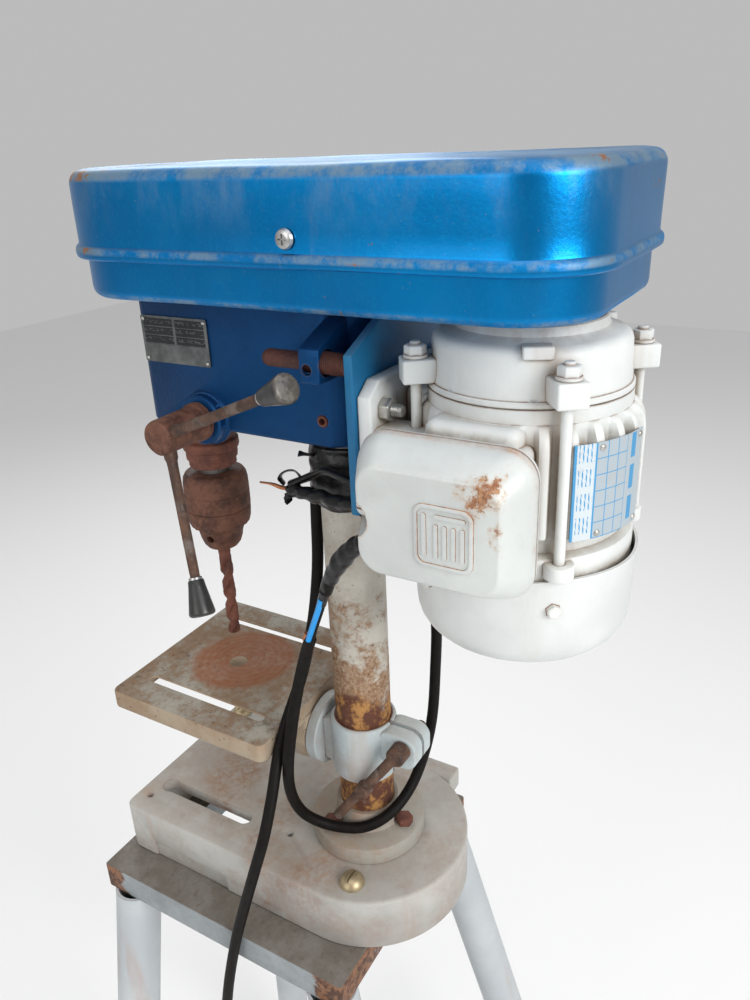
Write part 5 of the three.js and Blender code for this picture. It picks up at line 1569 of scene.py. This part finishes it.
def guard():
    """The guard's pan, its cover and the cover's side screws."""
    inset = 4
    outer = [(inset + 5.6, 519.5), (inset + 3.2, 519.9), (inset + 1.4, 521.2), (inset + 0.4, 523.2),
             (inset, 525.6), (inset, 566)]
    shell = [guard_level(i, z) for i, z in outer]
    pan = skin("guard_pan_sheet", shell, angle=40)
    inside = skin("c", [guard_level(inset + 6, 521.6), guard_level(inset + 3, 523.2),
                        guard_level(inset + 2, 526), guard_level(inset + 2, 570)])
    slot = prism("c", rounded(-20, 20, MOTOR_Y - 32, MOTOR_Y + 22, 19, 10), 515, 524)
    hole = bore(14, 10, 515, 524, centre=(0, SPINDLE_Y, 0))
    pan = cut(pan, inside, slot, hole)
    finish(dented(pan, 0.5, 22), "guard_blue", "press", "guard_pan")

    seam, side, top = 545, 592.7, 598.7
    profile = [(-1.2, seam), (-2.1, seam + 0.7), (-2.6, seam + 2.2), (-2.6, seam + 4.6), (-2.2, seam + 6.2),
               (-1.2, seam + 7.4),
               (-0.2, seam + 8.2), (0.1, seam + 9.4), (0.1, seam + 20), (0.0, seam + 34), (0.0, side - 3)]
    for i in range(1, 9):
        a = math.radians(90 * i / 8)
        profile.append((8.5 * (1 - math.cos(a)), side - 3 + 8.6 * math.sin(a)))
    profile += [(12, top + 0.1), (15, top - 0.5), (18, top - 0.7)]
    cover = skin("belt_cover_sheet", [guard_level(i, z) for i, z in profile], angle=40)
    inside = skin("c", [guard_level(1.8, seam - 3), guard_level(1.8, side - 2), guard_level(4.5, side + 2),
                        guard_level(9.5, top - 2.2)])
    holes = [bore(3, 15, 80, 96, axis="x", centre=GUARD_SCREW),
             bore(3, 15, -96, -80, axis="x", centre=GUARD_SCREW)]
    cover = cut(cover, inside, *holes)
    finish(dented(cover, 0.7, 18), "cover_blue", "belt_cover", "belt_cover")
    x = 92.6
    for hand, sx, node in (("right", 1, ["guard_screw"]), ("left", -1, [])):
        screw = lathe("guard_screw_%s" % hand, [(0, 89.6), (2.6, 89.6), (2.6, x), (5.6, x), (5.8, x + 0.8),
                                                (5.0, x + 2.3), (3.2, x + 3.2), (0, x + 3.4)],
                      GUARD_SCREW, "x", 40)
        cross = [block("c", x + 1.4, x + 6, 26.3 - 3, 26.3 + 3, 560.5, 561.5),
                 block("c", x + 1.4, x + 6, 25.8, 26.8, 558, 564)]
        screw = cut(screw, *cross)
        if sx < 0:
            for v in screw.data.vertices:
                v.co.x = -v.co.x
            screw.data.flip_normals()
        finish(screw, "bare_steel", "belt_cover", *node)


def guard_cover_finish(name, rub_and_highlight_bands):
    """Metallic blue, dusty on top; bands given as (low, high, wear) along the rounded edges get a lighter grey
    line, a painted highlight mixed with rubbed paint, and are rubbed through in places to primer and rust.
    """
    f = Finish(name, metallic=0.95, Coat_Weight=0.06)
    broad, fine = f.noise(6, 5, 0.6), f.noise(420, 3, 0.6, shift=1.0)
    z = f.part("Z")
    y = f.part("Y")
    high = f.span(z, 1.318, 1.352)
    colour = f.mix(f.span(broad, 0.3, 0.7), (0.001, 0.15, 0.4), (0.002, 0.215, 0.53))
    colour = f.mix(f.span(fine, 0.5, 0.75, 0.0, 0.22), colour, (0.005, 0.33, 0.62))
    film_noise = f.noise(24, 6, 0.72, stretch=(1, 1, 0.5), shift=3.0)
    film = f.times(f.span(film_noise, 0.42, 0.72), f.plus(0.03, f.times(high, 0.3)))
    colour = f.mix(film, colour, (0.26, 0.3, 0.3))
    run = f.span(f.noise(40, 5, 0.7, stretch=(1, 1, 0.16), shift=7.0), 0.62, 0.78, 0.0, 0.13)
    colour = f.mix(run, colour, (0.33, 0.27, 0.2))
    top = f.span(f.facing_up(), 0.3, 0.95)
    settled = f.times(top, f.span(f.noise(14, 6, 0.7, shift=1.7), 0.3, 0.75, 0.04, 0.4))
    colour = f.mix(settled, colour, (0.16, 0.2, 0.21))
    for low, edge_high, wear in rub_and_highlight_bands:
        middle = (low + edge_high) / 2
        half = (edge_high - low) / 2
        band = f.span(f.away_from(z, middle), half * 0.35, half, 1.0, 0.0)
        front = f.span(y, -0.135, -0.03, 0.22, 0.0)
        patch = f.plus(f.noise(34, 7, 0.78, shift=middle * 9), f.times(front, wear))
        # Painted highlight: a lighter grey line along each rounded edge, partly standing for rubbed paint.
        grey = f.times(band, f.span(patch, 0.5 - wear * 0.18, 0.66 - wear * 0.12, 0.0, 0.55))
        colour = f.mix(grey, colour, (0.3, 0.36, 0.36))
        bare = f.times(f.span(band, 0.3, 0.8), f.span(patch, 0.66 - wear * 0.06, 0.69 - wear * 0.06))
        orange = f.mix(f.noise(120, 4, 0.7), (0.42, 0.24, 0.15), (0.24, 0.11, 0.06))
        colour = f.mix(bare, colour, orange)
    spots = f.span(f.noise(46, 6, 0.75, shift=12.0), 0.66, 0.69)
    colour = f.mix(spots, colour, (0.2, 0.13, 0.09))
    specks = f.span(f.noise(330, 3, 0.7, shift=15.0), 0.68, 0.74, 0.0, 0.6)
    colour = f.mix(specks, colour, (0.14, 0.3, 0.36))
    dull = f.most(settled, film)
    for low, edge_high, wear in rub_and_highlight_bands:
        dull = f.most(dull, f.span(f.away_from(z, (low + edge_high) / 2),
                                              (edge_high - low) * 0.2, (edge_high - low) / 2, 0.6, 0.0))
    rough = f.plus(0.33, f.times(dull, 0.45), clamp=True)
    height = f.plus(f.times(f.noise(560, 2), 0.5), f.times(spots, -0.6))
    return f.done(colour, rough, height, distance=0.0003, strength=0.45)


def tape():
    """Black tape wound round the column in uneven turns, with a torn lump and loose tails."""
    rows = []
    low, tall = 366, 48
    for i in range(45):
        s = i / 44
        z = low + tall * s
        row = []
        for k in range(96):
            a = 3.75 * k
            c, d = ring(2.0, a)
            lump = noise.noise(Vector((c, d, z * 0.07)))
            turns = 0.55 * abs(math.sin((z + a / 45) * 0.33))
            bulge = 4.0 * math.sin(math.pi * s ** 0.9) ** 0.5
            u, v = ring(min(32.2, max(24.2, 25.4 + bulge + 2.2 * lump + turns)), a)
            row.append((u, v, z + 1.2 * math.sin(math.radians(a * 2 + 40)) * math.sin(math.pi * s)))
        rows.append(row)
    lining = [[(u, v, z) for u, v in circle(23.6, 3.75)] for z in (low + tall, low)]
    wound = skin("tape_winding", rows + lining, loop=True, angle=50)
    finish(wound, "tape_black", "press", "tape_bundle")
    way = catmull([(57, 45, 390), (50, 23, 387), (44, 3, 385.3), (38, -18, 383), (36, -31, 382.8)], 10)
    taped_piece("taped_splice", way, splice_radius)
    # Each loose end of tape: its way, how finely the way is drawn, and its width and thickness.
    for name, points, steps, width, thick in (
            ("tape_strand_upper", [(47, 36, 400), (43, 22, 402), (37, 5, 402), (33, -8, 396), (33, -18, 391),
                                   (35, -28, 386.5)], 8, 6.4, 2.8),
            ("tape_tail_loop", [(33.5, -19, 391), (34, -25, 396.5), (36, -32.5, 395), (37, -36, 390.5),
                                (36, -33, 385.5)], 8, 4.2, 0.6),
            ("tape_tail_low", [(37, -26, 380), (37.5, -30, 376), (37, -29, 372.5)], 8, 4.6, 0.7),
            ("tape_tail_top", [(24, -14, 406), (28, -19, 408), (30, -23, 408.5)], 6, 4.5, 1.2)):
        taped_piece(name, catmull(points, steps), lambda s, a: ribbon_radius(s, a, width, thick))
    tip = catmull([(36.3, -28, 383), (36, -36, 382.6), (36, -45, 383.8), (35.6, -55.5, 383.2)], 6)
    copper = tube_along("splice_copper", tip, lambda s,
                        a: 1.25 + 0.5 * math.sin(math.pi * min(1, s * 1.3)) - 0.5 * s, sides=18)
    finish(copper, "copper", "press")


def taped_piece(name, way, radius_at):
    """One piece of tape or taped wire on the press."""
    piece = tube_along(name, way, radius_at, sides=32, angle=70)
    finish(piece, "tape_black", "press")


def splice_radius(s, a):
    """Tape wound slantwise round the joined wires, thinning towards the bare end."""
    wave = 0.55 * math.sin(s * 34 + math.radians(a)) + 0.35 * math.sin(s * 19 - math.radians(2 * a))
    return (4.9 + wave) * (1 - 0.5 * max(0.0, (s - 0.82) / 0.18) ** 1.5)


def ribbon_radius(s, a, width, thick):
    """A flat tape's section: an ellipse whose width waves a little along the way."""
    u, v = ring(1, a + 50 * s)
    wide = width * (1 + 0.15 * math.sin(9 * s)) * (1 - 0.25 * s)
    return 1 / math.sqrt((u / wide) ** 2 + (v / thick) ** 2)


FINISHES["guard_blue"] = guard_cover_finish("pan_blue", [(1.278, 1.284, 0.35)])
FINISHES["cover_blue"] = guard_cover_finish("cover_blue", [(1.3075, 1.3135, 0.5), (1.3505, 1.3595, 0.7)])
guard()
tape()

for node, finish_name in (("spindle_pulley", "cast_pulley"), ("motor_pulley", "cast_pulley"),
                          ("v_belt", "sheath_black"),
                          ("motor_fan", "sheath_black"), ("rotor", "bare_steel")):
    repaint(node, finish_name)


# ---------------------------------------------------------------- stage
def stage():
    """The floor, the world, the colour transform and the lights."""
    mesh = bpy.data.meshes.new("floor")
    half = 6.0
    mesh.from_pydata([(-half, -half, 0), (half, -half, 0), (half, half, 0), (-half, half, 0)], [], [(0, 1, 2, 3)])
    floor = new_object("floor", mesh)
    mat = bpy.data.materials.new("floor_pale")
    mat.use_nodes = True
    bsdf = mat.node_tree.nodes["Principled BSDF"]
    bsdf.inputs["Base Color"].default_value = (0.86, 0.86, 0.86, 1)
    bsdf.inputs["Roughness"].default_value = 0.9
    mesh.materials.append(mat)
    world = bpy.data.worlds.new("studio")
    bpy.context.scene.world = world
    world.use_nodes = True
    world.node_tree.nodes["Background"].inputs[0].default_value = (1.0, 1.0, 1.0, 1)
    world.node_tree.nodes["Background"].inputs[1].default_value = 0.5
    bpy.context.scene.view_settings.view_transform = "Standard"
    aim = Vector((0, 0, 1.0))
    for name, place, size, power in (
            ("top", (0.3, 0.3, 3.2), 2.0, 22),
            ("key", (1.1, 3.0, 2.4), 1.8, 85),
            ("side", (3.2, -0.6, 2.2), 2.0, 28),
            ("far", (-1.8, -1.6, 2.6), 1.6, 25)):
        data = bpy.data.lights.new(name, "AREA")
        data.energy = power
        data.size = size
        lamp = bpy.data.objects.new(name, data)
        bpy.context.scene.collection.objects.link(lamp)
        lamp.location = place
        lamp.rotation_euler = (aim - Vector(place)).to_track_quat("-Z", "Y").to_euler()


stage()
